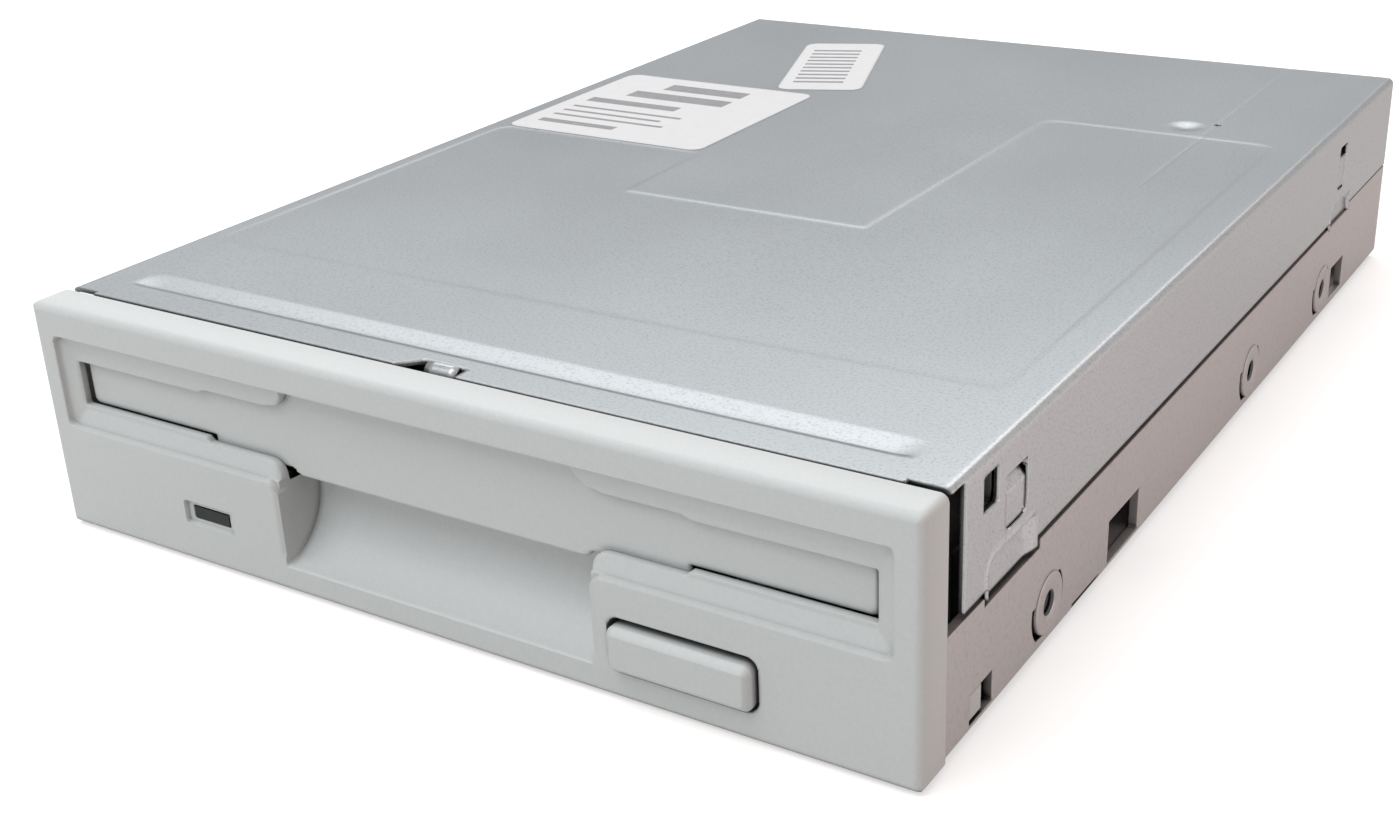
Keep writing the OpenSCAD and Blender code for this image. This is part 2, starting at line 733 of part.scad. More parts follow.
module door_spring() {
    turns = 3;
    pitch = 0.28;
    coil_r = door_pin_r + 0.5;
    wire_r = 0.12;
    x = -ear_out - 0.2;
    points = concat([[x, hinge_y + coil_r, hinge_z - 4]],
        [for (i = [0 : 8 * turns + 2])
            let (a = i * 45)
            [x - pitch * i / 8, hinge_y + coil_r * cos(a), hinge_z + coil_r * sin(a)]],
        [[x - pitch * (turns + 0.25), hinge_y - 1.2, hinge_z + coil_r]]);
    color([0.8, 0.8, 0.82]) place() wire(points, wire_r);
}

// Eject mechanism: slide plate with ramps, its springs, the button, the holder and the latch

module ramp_slot(y) {
    slot_hw = guide_pin_r + guide_gap;
    start = [y - eject_over, guide_z + eject_over * ramp_slope];
    finish = [y + eject_travel, guide_z - holder_drop];
    along_x([slide_in - 1, slide_out + 1]) capsule(start, finish, slot_hw);
}

module slide_plate() {
    color([0.7, 0.71, 0.72]) place() difference() {
        union() {
            box([-slide_out, slide_out], slide_y, [slide_z, slide_z + plate_t]);
            both_sides() {
                box([slide_in, slide_out], [slide_y[0] + 2, slide_y[1]], [slide_low, slide_z + plate_t]);
                box([slide_in, slide_out], leg_y, [shelf_z, slide_low + 0.2]);
                box([spring_x - 1.2, slide_out], leg_y, [shelf_z, shelf_top]);
                box([spring_x - 1.2, spring_x + 1.2], [leg_y[0], leg_y[0] + plate_t],
                    [shelf_z, spring_z + 1]);
                for (y = guide_y) {
                    box([slide_out - 0.2, lug_out + 0.1], [y - 2, y + 10], [slide_z, slide_z + plate_t]);
                }
            }
            box([tail_x[0], spring_x], leg_y, [shelf_z, shelf_top]);
            box(tail_x, [tail_lip_y, tail_lip_y + plate_t], [shelf_z, shelf_top + 2.2]);
            box([latch_x - 3.5, latch_x - 0.6], [latch_y - 5.3, latch_y - 4.7], [latch_z + 0.3, slide_z + 0.1]);
        }
        box([-arm_slot_hw - 0.5, arm_slot_hw + 0.5], [arm_slot_y - 2, slide_y[1] + 1],
            [slide_z - 1, slide_z + 2]);
        for (s = [-1, 1], y = [36, 54]) {
            slab([slide_z - 1, slide_z + 2]) translate([s * 22, y]) round_rect(13, 13, 2);
        }
        both_sides() {
            for (y = guide_y) {
                ramp_slot(y);
            }
        }
    }
}

module eject_springs() {
    turns = 10;
    wire_r = 0.3;
    coil_r = 1.5;
    points = coil(coil_r, turns, leg_y[0] - hook_y, 1.4);
    echo(eject_spring_gap = self_gap(points, wire_r, 6));
    color([0.82, 0.82, 0.84]) place() for (side = [-1, 1]) {
        translate([side * spring_x, hook_y, spring_z]) rotate([-90, 0, 0]) wire(points, wire_r);
    }
}

module eject_button() {
    cap_back = bezel_t + 3.8;
    lip_gap = fit;
    color([0.76, 0.77, 0.77]) place() {
        along_y([-button_proud, cap_back]) translate([button_x, button_z])
            round_rect(button_w, button_h, button_r);
        difference() {
            box(tail_x, [cap_back - 0.2, leg_y[1] - 1], [shelf_top, shelf_top + 2]);
            box([tail_x[0] - 1, tail_x[1] + 1], [tail_lip_y - lip_gap, tail_lip_y + plate_t + lip_gap],
                [shelf_top - 1, shelf_top + 3]);
        }
        both_sides_of_tail() box([tail_x[1], tail_x[1] + 1], [tail_lip_y - 2, leg_y[1] - 1],
            [shelf_top, shelf_top + 2]);
    }
}

module both_sides_of_tail() {
    middle = (tail_x[0] + tail_x[1]) / 2;
    children();
    translate([middle, 0, 0]) mirror([1, 0, 0]) translate([-middle, 0, 0]) children();
}

function lever_point(turn) = [latch_x + latch_arm * cos(latch_rest + turn),
    latch_y + latch_arm * sin(latch_rest + turn)];

// The arc along which the lever pin swings, with its own room
module lever_arc() {
    room = 4;
    over = latch_turn * eject_over / eject_travel + room;
    steps = 12;
    r = lever_pin_r + 0.4;
    a0 = latch_rest - over;
    a1 = latch_rest + latch_turn + room;
    translate([latch_x, latch_y]) difference() {
        intersection() {
            circle(latch_arm + r);
            polygon(concat([[0, 0]], [for (i = [0 : steps])
                let (a = a0 + (a1 - a0) * i / steps) 1.3 * latch_arm * [cos(a), sin(a)]]));
        }
        circle(latch_arm - r);
    }
}

module disk_holder() {
    stop_y = [holder_y[1] - 7.2, holder_y[1] - 7.2 + plate_t];
    color([0.66, 0.67, 0.68]) place() difference() {
        union() {
            box([-holder_hw, holder_hw], holder_y, [holder_top, holder_top + plate_t]);
            both_sides() {
                box([bay_hw, holder_hw], holder_y, [bay_z - plate_t, holder_top + plate_t]);
                box([bay_hw - lip_w + plate_t, holder_hw], holder_y, [bay_z - plate_t, bay_z]);
            }
            box([20, bay_hw - 5.4], stop_y, [bay_z + 0.5, holder_top + 0.1]);
            box([-bay_hw + 3.4, -bay_hw + 15.4], stop_y, [bay_z + 0.5, holder_top + 0.1]);
            box([spring_post[0] - 0.9, spring_post[0] + 0.9], [spring_post[1] - plate_t, spring_post[1]],
                [holder_top, latch_z + 1.1]);
        }
        box([-arm_slot_hw, arm_slot_hw], [arm_slot_y, holder_y[1] + 1], [holder_top - 1, holder_top + 2]);
        slab([holder_top - 1, holder_top + 2]) lever_arc();
    }
}

module holder_pins() {
    color([0.85, 0.85, 0.86]) place() both_sides() {
        for (y = guide_y) {
            rod_along_x(guide_pin_r, [holder_hw, guide_tip], y, guide_z);
        }
    }
}

module latch_post() {
    head_z = latch_z + latch_t + 0.1;
    color([0.85, 0.85, 0.86]) place() {
        rod_along_z(post_r, latch_x, latch_y, [holder_top + plate_t, head_z + 0.1]);
        rod_along_z(post_r + 1, latch_x, latch_y, [head_z, head_z + 0.4]);
    }
}

module latch_spring() {
    start = spring_post;
    finish = [latch_x + 12 * cos(latch_rest), latch_y + 12 * sin(latch_rest)];
    wire_r = 0.15;
    length = norm(finish - start) - 3.1;
    points = coil(0.5, 10, length, 1.2);
    direction = atan2(finish[1] - start[1], finish[0] - start[0]);
    echo(latch_spring_gap = self_gap(points, wire_r, 6));
    color([0.82, 0.82, 0.84]) place() translate([start[0], start[1], latch_z + 0.7])
        rotate([0, 0, direction]) rotate([0, 90, 0]) wire(points, wire_r);
}

module latch_lever() {
    color([0.3, 0.31, 0.33]) place() slab([latch_z, latch_z + latch_t]) difference() {
        union() {
            capsule([latch_x, latch_y], lever_point(0), latch_hw);
            translate([latch_x, latch_y]) circle(latch_hub_r);
            translate([latch_x - 1.6, latch_y - 9]) square([4.6, 2.5]);
        }
        translate([latch_x, latch_y]) circle(post_r + fit);
    }
}

module lever_pin() {
    tip = lever_point(0);
    color([0.85, 0.85, 0.86]) place() rod_along_z(lever_pin_r, tip[0], tip[1], [bay_z + 0.5, latch_z]);
}

// Spindle motor

module at_spindle() {
    translate([0, spindle_y, 0]) children();
}

module motor_board() {
    color([0.1, 0.36, 0.24]) place() difference() {
        slab([board_z, board_top]) {
            translate([-board_hw, motor_front]) square([2 * board_hw, motor_step - motor_front]);
            translate([motor_x[0], motor_front]) square([motor_x[1] - motor_x[0], motor_back - motor_front]);
        }
        rod_along_z(bearing_r + 0.1, 0, spindle_y, [0, board_top + 1]);
        for (p = motor_points) {
            rod_along_z(screw_m2 + 0.1, p[0], p[1], [0, board_top + 1]);
        }
    }
}

module spindle_bearing() {
    color([0.7, 0.62, 0.42]) place() at_spindle() difference() {
        union() {
            rod_along_z(bearing_r, 0, 0, [floor_z, rotor_z[1] - rotor_t - 0.6]);
            rod_along_z(flange_r, 0, 0, [board_top, stator_z]);
        }
        rod_along_z(shaft_r + fit, 0, 0, [floor_z + 0.6, rotor_z[1]]);
    }
}

module stator_core() {
    tooth_w = 2;
    pole_r = rotor_r - rotor_t - magnet_w - 0.7;
    color([0.45, 0.45, 0.47]) place() at_spindle() difference() {
        slab([stator_z, stator_z + stator_h]) {
            circle(bearing_r + 3.2);
            for (i = [0 : teeth - 1]) {
                rotate(i * 360 / teeth) {
                    translate([bearing_r + 2, -tooth_w / 2]) square([pole_r - bearing_r - 3, tooth_w]);
                    translate([pole_r - 1.4, -tooth_w]) square([1.2, 2 * tooth_w]);
                }
            }
        }
        rod_along_z(bearing_r + seat, 0, 0, [0, 20]);
    }
}

module stator_coils() {
    wrap = 0.5;
    coil_r = [bearing_r + 5.4, rotor_r - 5.2];
    color([0.72, 0.42, 0.2]) place() at_spindle() for (i = [0 : teeth - 1]) {
        rotate(i * 360 / teeth) difference() {
            box(coil_r, [-1 - wrap, 1 + wrap], [stator_z - wrap, stator_z + stator_h + wrap]);
            box([0, rotor_r], [-1 - seat, 1 + seat], [stator_z - seat, stator_z + stator_h + seat]);
        }
    }
}

module index_sensor() {
    color([0.12, 0.12, 0.13]) place() box([rotor_r + 0.6, rotor_r + 3.4],
        [spindle_y - 2, spindle_y + 2], [board_top, board_top + 1.6]);
}

module rotor_cup() {
    color([0.62, 0.63, 0.65]) place() at_spindle() difference() {
        rod_along_z(rotor_r, 0, 0, rotor_z);
        rod_along_z(rotor_r - rotor_t, 0, 0, [rotor_z[0] - 1, rotor_z[1] - rotor_t]);
        rod_along_z(shaft_r + seat, 0, 0, [0, rotor_z[1] + 1]);
    }
}

module ring_magnet() {
    color([0.2, 0.2, 0.22]) place() at_spindle() tube_along_z(rotor_r - rotor_t - seat,
        rotor_r - rotor_t - magnet_w, 0, 0, [rotor_z[0] + 0.2, rotor_z[1] - rotor_t]);
}

module spindle_shaft() {
    color([0.88, 0.88, 0.9]) place() at_spindle()
        rod_along_z(shaft_r, 0, 0, [floor_z + 0.65, bay_z - 1.3]);
}

module spindle_hub() {
    color([0.78, 0.78, 0.8]) place() at_spindle() difference() {
        rod_along_z(hub_r, 0, 0, hub_z);
        rod_along_z(shaft_r + seat, 0, 0, [0, hub_z[1] + 1]);
        tube_along_z(chuck_r[1], chuck_r[0], 0, 0, [hub_z[1] - chuck_h, hub_z[1] + 1]);
        rod_along_z(drive_pin_r + 0.1, drive_pin_off, 0, [hub_z[0] - 1, hub_z[1] + 1]);
    }
}

module chuck_magnet() {
    color([0.2, 0.2, 0.22]) place() at_spindle() tube_along_z(chuck_r[1] - seat, chuck_r[0] + seat, 0, 0,
        [hub_z[1] - chuck_h, hub_z[1] - 0.2]);
}

module drive_pin() {
    color([0.88, 0.88, 0.9]) place() at_spindle()
        rod_along_z(drive_pin_r, drive_pin_off, 0, [hub_z[0] + drive_pin_dip + fit, hub_z[1] + 1.2]);
}

// Head carriage, rails and stepper

module guide_rod() {
    color([0.88, 0.88, 0.9]) place() rod_along_y(rod_r, rod_x, rail_end_y, rail_z);
}

module rod_supports() {
    block_l = 3;
    block_hw = 3;
    color([0.35, 0.36, 0.38]) place() for (y = [rail_end_y[0], rail_end_y[1] - block_l]) {
        difference() {
            box([rod_x - block_hw, rod_x + block_hw], [y, y + block_l], [floor_z, rail_z + 2.6]);
            rod_along_y(rod_r + seat, rod_x, [y - 1, y + block_l + 1], rail_z);
        }
    }
}

module stepper_bracket() {
    bracket_x = [screw_x - 7, screw_x + 7];
    color([0.68, 0.69, 0.7]) place() difference() {
        union() {
            box(bracket_x, bracket_y, [floor_z, floor_z + bracket_t]);
            box(bracket_x, [bracket_y[1] - bracket_t, bracket_y[1]], [floor_z, rail_z + stepper_r - 0.5]);
            box([screw_x - 3, screw_x + 3], [bracket_y[0], bracket_y[0] + bracket_post],
                [floor_z, rail_z + 2.6]);
        }
        rod_along_y(screw_r + 0.6, screw_x, [bracket_y[1] - 2, bracket_y[1] + 1], rail_z);
        rod_along_y(bearing_bush_r + seat, screw_x, [bracket_y[0] - 1, bracket_y[0] + bracket_post + 1],
            rail_z);
        for (p = bracket_points) {
            rod_along_z(screw_m2 + 0.1, p[0], p[1], [0, floor_z + 2]);
        }
    }
}

module stepper_case() {
    inside_y = [bracket_y[1] + stepper_skin, bracket_y[1] + stepper_l - stepper_skin];
    color([0.6, 0.61, 0.63]) place() difference() {
        rod_along_y(stepper_r, screw_x, [bracket_y[1], bracket_y[1] + stepper_l], rail_z);
        rod_along_y(stub_r + fit, screw_x, [bracket_y[1] - 1, bracket_y[1] + stepper_l - 1], rail_z);
        rod_along_y(stepper_r - stepper_skin, screw_x, inside_y, rail_z);
    }
}

module lead_screw() {
    thread_y = [bracket_y[0] + 3, bracket_y[1] - 2];
    groove_d = 0.45;
    color([0.85, 0.85, 0.87]) place() {
        translate([screw_x, thread_y[0], rail_z]) rotate([-90, 0, 0])
            grooved_bar(screw_r, groove_d, thread_y[1] - thread_y[0], screw_lead);
        rod_along_y(journal_r, screw_x, [bracket_y[0] + 0.1, thread_y[0]], rail_z);
        rod_along_y(stub_r, screw_x, [thread_y[1], bracket_y[1] + stepper_l - 1.1], rail_z);
    }
}

module screw_bearing() {
    color([0.7, 0.62, 0.42]) place() difference() {
        rod_along_y(bearing_bush_r, screw_x, [bracket_y[0], bracket_y[0] + bracket_post], rail_z);
        rod_along_y(journal_r + fit, screw_x, [bracket_y[0] - 1, bracket_y[0] + bracket_post + 1], rail_z);
    }
}

module stepper_rotor() {
    color([0.25, 0.25, 0.27]) place() difference() {
        rod_along_y(stepper_r - 2, screw_x, [bracket_y[1] + 2, bracket_y[1] + stepper_l - 2], rail_z);
        rod_along_y(stub_r + seat, screw_x, [bracket_y[1], bracket_y[1] + stepper_l], rail_z);
    }
}

module head_carriage() {
    ear_x = [arm_hw + 0.8, arm_hw + 2.4];
    body_y = [head_y + 3.5, arm_hinge_y + 3];
    follower_y = [head_y + 11.5, head_y + 16.5];
    flag_y = head_y + 22.5;
    color([0.16, 0.16, 0.17]) place() difference() {
        union() {
            box([-arm_hw + 0.5, arm_hw - 0.5], [head_y - 4.5, body_y[0] + 1], [carriage_top - 1.7, carriage_top]);
            box([-ear_x[0], ear_x[0]], body_y, [carriage_z, carriage_top]);
            box([rod_x - sleeve_hw, rod_x + sleeve_hw], sleeve_y, [rail_z - 3, carriage_top]);
            box([rod_x, 0], sleeve_y, [carriage_z, carriage_top]);
            box([0, screw_x + 1.5], follower_y, [rail_z + screw_r + 0.3, carriage_top]);
            both_sides() {
                box(ear_x, [arm_hinge_y - 3, arm_hinge_y + 3], [carriage_z, arm_hinge_z + 1.5]);
            }
            box([rod_x - sleeve_hw - 3.5, rod_x], [flag_y, flag_y + 2], [rail_z - 1.8, rail_z - 1]);
        }
        rod_along_y(rod_r + fit, rod_x, [sleeve_y[0] - 1, sleeve_y[1] + 1], rail_z);
        rod_along_x(arm_pin_r + seat, [-ear_x[1] - 1, ear_x[1] + 1], arm_hinge_y, arm_hinge_z);
        rod_along_z(0.5 + seat, screw_x, head_y + 14, [rail_z, carriage_top + 1]);
    }
}

module lower_head() {
    color([0.5, 0.45, 0.42]) place() slab([carriage_top, media_z])
        translate([0, head_y]) round_rect(4.4, 5.2, 0.8);
}

module follower_pin() {
    color([0.85, 0.85, 0.86]) place() rod_along_z(0.5, screw_x, head_y + 14,
        [rail_z + screw_r + 0.08, carriage_top]);
}

module arm_pin() {
    color([0.85, 0.85, 0.86]) place() rod_along_x(arm_pin_r, [-arm_hw - 2.4, arm_hw + 2.4],
        arm_hinge_y, arm_hinge_z);
}

module arm_spring() {
    turns = 3;
    pitch = 0.5;
    coil_r = arm_pin_r + 0.5;
    wire_r = 0.15;
    x = arm_hw - 1.4;
    points = concat([[x, arm_hinge_y - coil_r, carriage_top + 0.3]],
        [for (i = [4 : 8 * turns])
            let (a = i * 45)
            [x + pitch * (i - 4) / 8, arm_hinge_y + coil_r * cos(a), arm_hinge_z + coil_r * sin(a)]],
        [[x + pitch * (turns - 0.5), arm_hinge_y + coil_r, arm_hinge_z - 3]]);
    color([0.82, 0.82, 0.84]) place() wire(points, wire_r);
}

// The head arm is drawn lowered and then tipped up to its rest position
module arm_at_rest() {
    translate([0, arm_hinge_y, arm_hinge_z]) rotate([-arm_lift, 0, 0])
        translate([0, -arm_hinge_y, -arm_hinge_z]) children();
}

module head_arm() {
    knuckle_hw = 4;
    color([0.2, 0.2, 0.21]) place() arm_at_rest() difference() {
        union() {
            box([-arm_hw, arm_hw], [head_y - 2.5, arm_hinge_y - 5.5], [arm_z, arm_z + arm_t]);
            box([-knuckle_hw, knuckle_hw], [arm_hinge_y - 6, arm_hinge_y], [arm_z, arm_z + arm_t]);
            rod_along_x(arm_pin_r + 0.9, [-knuckle_hw, knuckle_hw], arm_hinge_y, arm_hinge_z);
            rod_along_x(0.5, [arm_hw - 1, arm_slot_hw + 2.5], arm_hinge_y - 15, arm_z + 0.5);
            box([-3, 3], [head_y - 2.5, head_y + 3], [media_z + 2.2, arm_z + 0.1]);
        }
        rod_along_x(arm_pin_r + fit, [-knuckle_hw - 1, knuckle_hw + 1], arm_hinge_y, arm_hinge_z);
    }
}

module head_gimbal() {
    color([0.8, 0.72, 0.45]) place() arm_at_rest() slab([media_z + 2, media_z + 2.2])
        translate([0, head_y]) round_rect(8.4, 7.6, 0.8);
}

module upper_head() {
    color([0.5, 0.45, 0.42]) place() arm_at_rest() slab([media_z + 0.1, media_z + 2])
        translate([0, head_y]) round_rect(4.4, 5.2, 0.8);
}

// Boards, connectors, switches and small parts

module main_board() {
    gap_x = [screw_x - 8.5, screw_x + 8.5];
    color([0.08, 0.33, 0.2]) place() difference() {
        slab([board_z, board_top]) {
            translate([-board_hw, main_front]) square([board_hw - 20, main_y - main_front]);
            translate([-board_hw, main_step]) square([2 * board_hw, main_y - main_step]);
        }
        box(gap_x, [main_step - 1, bracket_y[1] + stepper_l + 1], [0, board_top + 1]);
        for (p = main_screws) {
            rod_along_z(screw_m2 + 0.1, p[0], p[1], [0, board_top + 1]);
        }
    }
}

module board_chips() {
    color([0.12, 0.12, 0.13]) place() {
        box([-40, -28], [main_front + 8, main_front + 20], [board_top, board_top + 1.5]);
        box([power_x + 5, power_x + 12], [main_step + 1.5, main_step + 5.5], [board_top, board_top + 1.5]);
        box([-34, -24], [38, 46], [board_top, board_top + 1.6]);
    }
}

module board_capacitors() {
    color([0.25, 0.27, 0.32]) place() {
        for (p = [[-24, main_front + 6], [-24, main_front + 10.5], [power_x + 2.2, main_step + 3]]) {
            rod_along_z(capacitor_r, p[0], p[1], [board_top, board_top + capacitor_h]);
        }
    }
}

module track_sensor() {
    flag_y = head_y + 22.5;
    flag_x = rod_x - sleeve_hw - 3.5;
    color([0.12, 0.12, 0.13]) place() difference() {
        box([flag_x - 3.5, flag_x + 1.5], [flag_y - 1, flag_y + 3], [board_top, rail_z + 1]);
        box([flag_x - 0.8, flag_x + 3], [flag_y - 2, flag_y + 4], [rail_z - 2.6, rail_z - 0.2]);
    }
}

module data_connector() {
    wall = 1.2;
    color([0.1, 0.1, 0.11]) place() difference() {
        box([data_x, data_x + data_w], [end_y - data_d, end_y - 0.2], [board_top, board_top + data_h]);
        box([data_x + wall, data_x + data_w - wall], [end_y - data_d + 2, end_y + 1],
            [board_top + wall, board_top + data_h - wall]);
        box([data_x + data_w / 2 - 2.25, data_x + data_w / 2 + 2.25], [end_y - data_d + 2, end_y + 1],
            [board_top + data_h - 2, board_top + data_h + 1]);
    }
}

module data_pins() {
    pin_hw = 0.32;
    middle = data_x + data_w / 2;
    color([0.83, 0.7, 0.4]) place() for (i = [0 : contacts - 1], row = [-0.5, 0.5]) {
        x = middle + (i - (contacts - 1) / 2) * contact_pitch;
        z = board_top + data_h / 2 + row * contact_pitch;
        box([x - pin_hw, x + pin_hw], [end_y - data_d + 2, end_y - 1.2], [z - pin_hw, z + pin_hw]);
    }
}

module power_connector() {
    color([0.9, 0.89, 0.84]) place() difference() {
        box([power_x, power_x + power_w], [end_y - 9.4, end_y - 0.2], [board_top, board_top + 6.4]);
        box([power_x + 1.2, power_x + power_w - 1.2], [end_y - 7.4, end_y + 1],
            [board_top + 1, board_top + 7]);
    }
}

module power_pins() {
    color([0.8, 0.8, 0.82]) place() for (i = [0 : 3]) {
        rod_along_y(0.45, power_x + power_w / 2 + (i - 1.5) * 2.5, [end_y - 7.4, end_y - 1], board_top + 3.4);
    }
}

module motor_ribbon() {
    color([0.85, 0.83, 0.78]) place() box([-31, -21], [motor_back - 3, main_front + 3],
        [board_top, board_top + 0.3]);
}

module head_ribbon() {
    ribbon_t = 0.2;
    ribbon_y = [head_y + 12, arm_hinge_y - 0.5];
    low = floor_z;
    turn_r = (carriage_z - low) / 2;
    color([0.72, 0.5, 0.22]) place() along_x([-4, 4]) {
        translate([ribbon_y[0], carriage_z - ribbon_t]) square([ribbon_y[1] - ribbon_y[0], ribbon_t]);
        translate([ribbon_y[0], low]) square([ribbon_y[1] - ribbon_y[0], ribbon_t]);
        intersection() {
            translate([ribbon_y[1], low + turn_r]) difference() {
                circle(turn_r);
                circle(turn_r - ribbon_t);
            }
            translate([ribbon_y[1], 0]) square([turn_r, 30]);
        }
    }
}

module switch_bodies() {
    color([0.14, 0.14, 0.15]) place() for (x = switch_xs) {
        difference() {
            box([x - switch_hw, x + switch_hw], [switch_y - switch_hw, switch_y + switch_hw],
                [board_top, board_top + switch_h]);
            rod_along_z(plunger_r + 0.1, x, switch_y, [board_top + 1, board_top + switch_h + 1]);
        }
    }
}

module plunger(x) {
    color([0.85, 0.85, 0.83]) place() rod_along_z(plunger_r, x, switch_y,
        [board_top + 1 + plunger_travel + 0.1, plunger_top]);
}

module protect_plunger() {
    plunger(switch_xs[0]);
}

module disk_plunger() {
    plunger(switch_xs[1]);
}

module density_plunger() {
    plunger(switch_xs[2]);
}

module board_screws() {
    color([0.8, 0.8, 0.8]) place() {
        for (p = concat(main_screws, motor_points)) {
            screw(p[0], p[1], board_top, board_top - 0.4, screw_m2);
        }
        for (p = bracket_points) {
            screw(p[0], p[1], floor_z + bracket_t, floor_z + bracket_t - 0.2, screw_m2);
        }
    }
}

chassis();
top_cover();
label();
strip_label();
bezel();
led_lens();
led_lamp();
main_board();
board_chips();
board_capacitors();
track_sensor();
data_connector();
data_pins();
power_connector();
power_pins();
motor_board();
stator_core();
stator_coils();
spindle_bearing();
index_sensor();
motor_ribbon();
head_ribbon();
stepper_bracket();
screw_bearing();
stepper_case();
guide_rod();
rod_supports();
switch_bodies();
board_screws();
eject_springs();
slot_door();
door_spring();
slide_plate();
eject_button();
disk_holder();
holder_pins();
latch_post();
latch_spring();
latch_lever();
lever_pin();
lead_screw();
stepper_rotor();
head_carriage();
lower_head();
follower_pin();
arm_pin();
arm_spring();
head_arm();
head_gimbal();
upper_head();
rotor_cup();
ring_magnet();
spindle_shaft();
spindle_hub();
chuck_magnet();
drive_pin();
protect_plunger();
density_plunger();
disk_plunger();
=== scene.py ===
"""Looks of the floppy disk drive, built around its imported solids.

Lengths are millimetres in the drive's own coordinates: x to the right, y from the bezel's face to
the rear, z up from the base. Row coordinates are the same, moved along y and in metres.
"""
import json
import logging
import math
from dataclasses import dataclass, field
from enum import Enum
from typing import Any, Callable, Sequence

import bmesh
import bpy
import numpy as np
from mathutils import Matrix, Vector

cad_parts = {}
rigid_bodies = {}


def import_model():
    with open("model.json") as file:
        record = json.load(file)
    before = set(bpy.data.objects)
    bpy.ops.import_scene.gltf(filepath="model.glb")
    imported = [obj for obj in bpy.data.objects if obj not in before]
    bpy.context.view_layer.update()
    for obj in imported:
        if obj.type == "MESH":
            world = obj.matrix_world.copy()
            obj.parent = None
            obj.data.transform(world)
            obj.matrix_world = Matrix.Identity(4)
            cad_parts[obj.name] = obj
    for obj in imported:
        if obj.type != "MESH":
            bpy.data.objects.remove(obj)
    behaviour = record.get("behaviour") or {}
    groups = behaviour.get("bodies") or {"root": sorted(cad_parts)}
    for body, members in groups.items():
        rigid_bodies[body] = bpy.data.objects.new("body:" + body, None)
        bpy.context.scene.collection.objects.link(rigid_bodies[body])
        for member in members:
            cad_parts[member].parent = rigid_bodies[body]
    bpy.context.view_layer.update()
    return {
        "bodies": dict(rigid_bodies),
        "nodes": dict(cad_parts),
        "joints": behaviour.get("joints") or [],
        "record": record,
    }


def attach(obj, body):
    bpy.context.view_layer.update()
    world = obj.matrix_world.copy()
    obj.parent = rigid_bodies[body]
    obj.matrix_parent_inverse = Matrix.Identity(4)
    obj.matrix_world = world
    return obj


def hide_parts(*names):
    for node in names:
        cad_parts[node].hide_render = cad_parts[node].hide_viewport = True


LOG = logging.getLogger("drive")
MM = 0.001
MID_Y = 72.0
WELD = 2e-6
QUARTER = math.pi / 2
SIDES = (-1, 1)
EVEN = (1.0, 1.0, 1.0)
Array = np.ndarray
Shape = Callable[[Array, Array], Array]
Pair = tuple[float, float]
Triple = tuple[float, float, float]
Quad = tuple[float, float, float, float]
Socket = bpy.types.NodeSocket
Inputs = dict[str | int, Any]


def to_row(x: Array, y: Array, z: Array) -> Array:
    """Turns drive millimetres into row metres.

    Args:
        x: Places across.
        y: Places from the bezel's face to the rear.
        z: Heights above the base.

    Returns:
        An array with a last axis of three.
    """
    x, y, z = np.broadcast_arrays(x, y, z)
    return np.stack([x, y - MID_Y, z], -1) * MM


def graded_lines(low: float, high: float, marks: Sequence[float], fine: float, coarse: float,
                 growth: float = 0.4) -> Array:
    """Grid lines that crowd round the marks.

    The spacing is fine + growth * distance to the nearest mark, at most coarse. The lines are the
    even steps of the integral of 1 / spacing, and the line nearest to each mark is put on it.

    Args:
        low: First line.
        high: Last line.
        marks: Places that get a line of their own.
        fine: Spacing at a mark.
        coarse: Spacing far from every mark.
        growth: Growth of the spacing with distance.

    Returns:
        The sorted lines.
    """
    marks = np.unique([m for m in [*marks, low, high] if low <= m <= high])
    t = np.linspace(low, high, 24001)
    gap = np.abs(t[:, None] - marks[None]).min(1)
    step = np.minimum(fine + growth * gap, coarse)
    count = np.concatenate([[0], np.cumsum(np.diff(t) / step[:-1])])
    lines = np.interp(np.linspace(0, count[-1], int(count[-1]) + 2), count, t)
    nearest = np.abs(lines[:, None] - marks[None]).argmin(0)
    lines[nearest] = marks
    return np.unique(lines)


def both_sides(marks: Sequence[float]) -> list[float]:
    """The marks, and the same marks on the other side of the middle."""
    return [side * mark for side in SIDES for mark in marks]


def box_distance(u: Array, v: Array, u_span: Pair, v_span: Pair, r: float = 0.0) -> Array:
    """Signed distance to a rectangle with rounded corners, negative inside.

    With q the distance past the inner rectangle, shrunk by r, it is |max(q, 0)| + min(max q, 0) - r.

    Args:
        u: First coordinates.
        v: Second coordinates.
        u_span: The rectangle's limits along u.
        v_span: The rectangle's limits along v.
        r: Corner radius.

    Returns:
        The distances.
    """
    qu = np.abs(u - (u_span[0] + u_span[1]) / 2) - (u_span[1] - u_span[0]) / 2 + r
    qv = np.abs(v - (v_span[0] + v_span[1]) / 2) - (v_span[1] - v_span[0]) / 2 + r
    return np.hypot(np.maximum(qu, 0), np.maximum(qv, 0)) + np.minimum(np.maximum(qu, qv), 0) - r


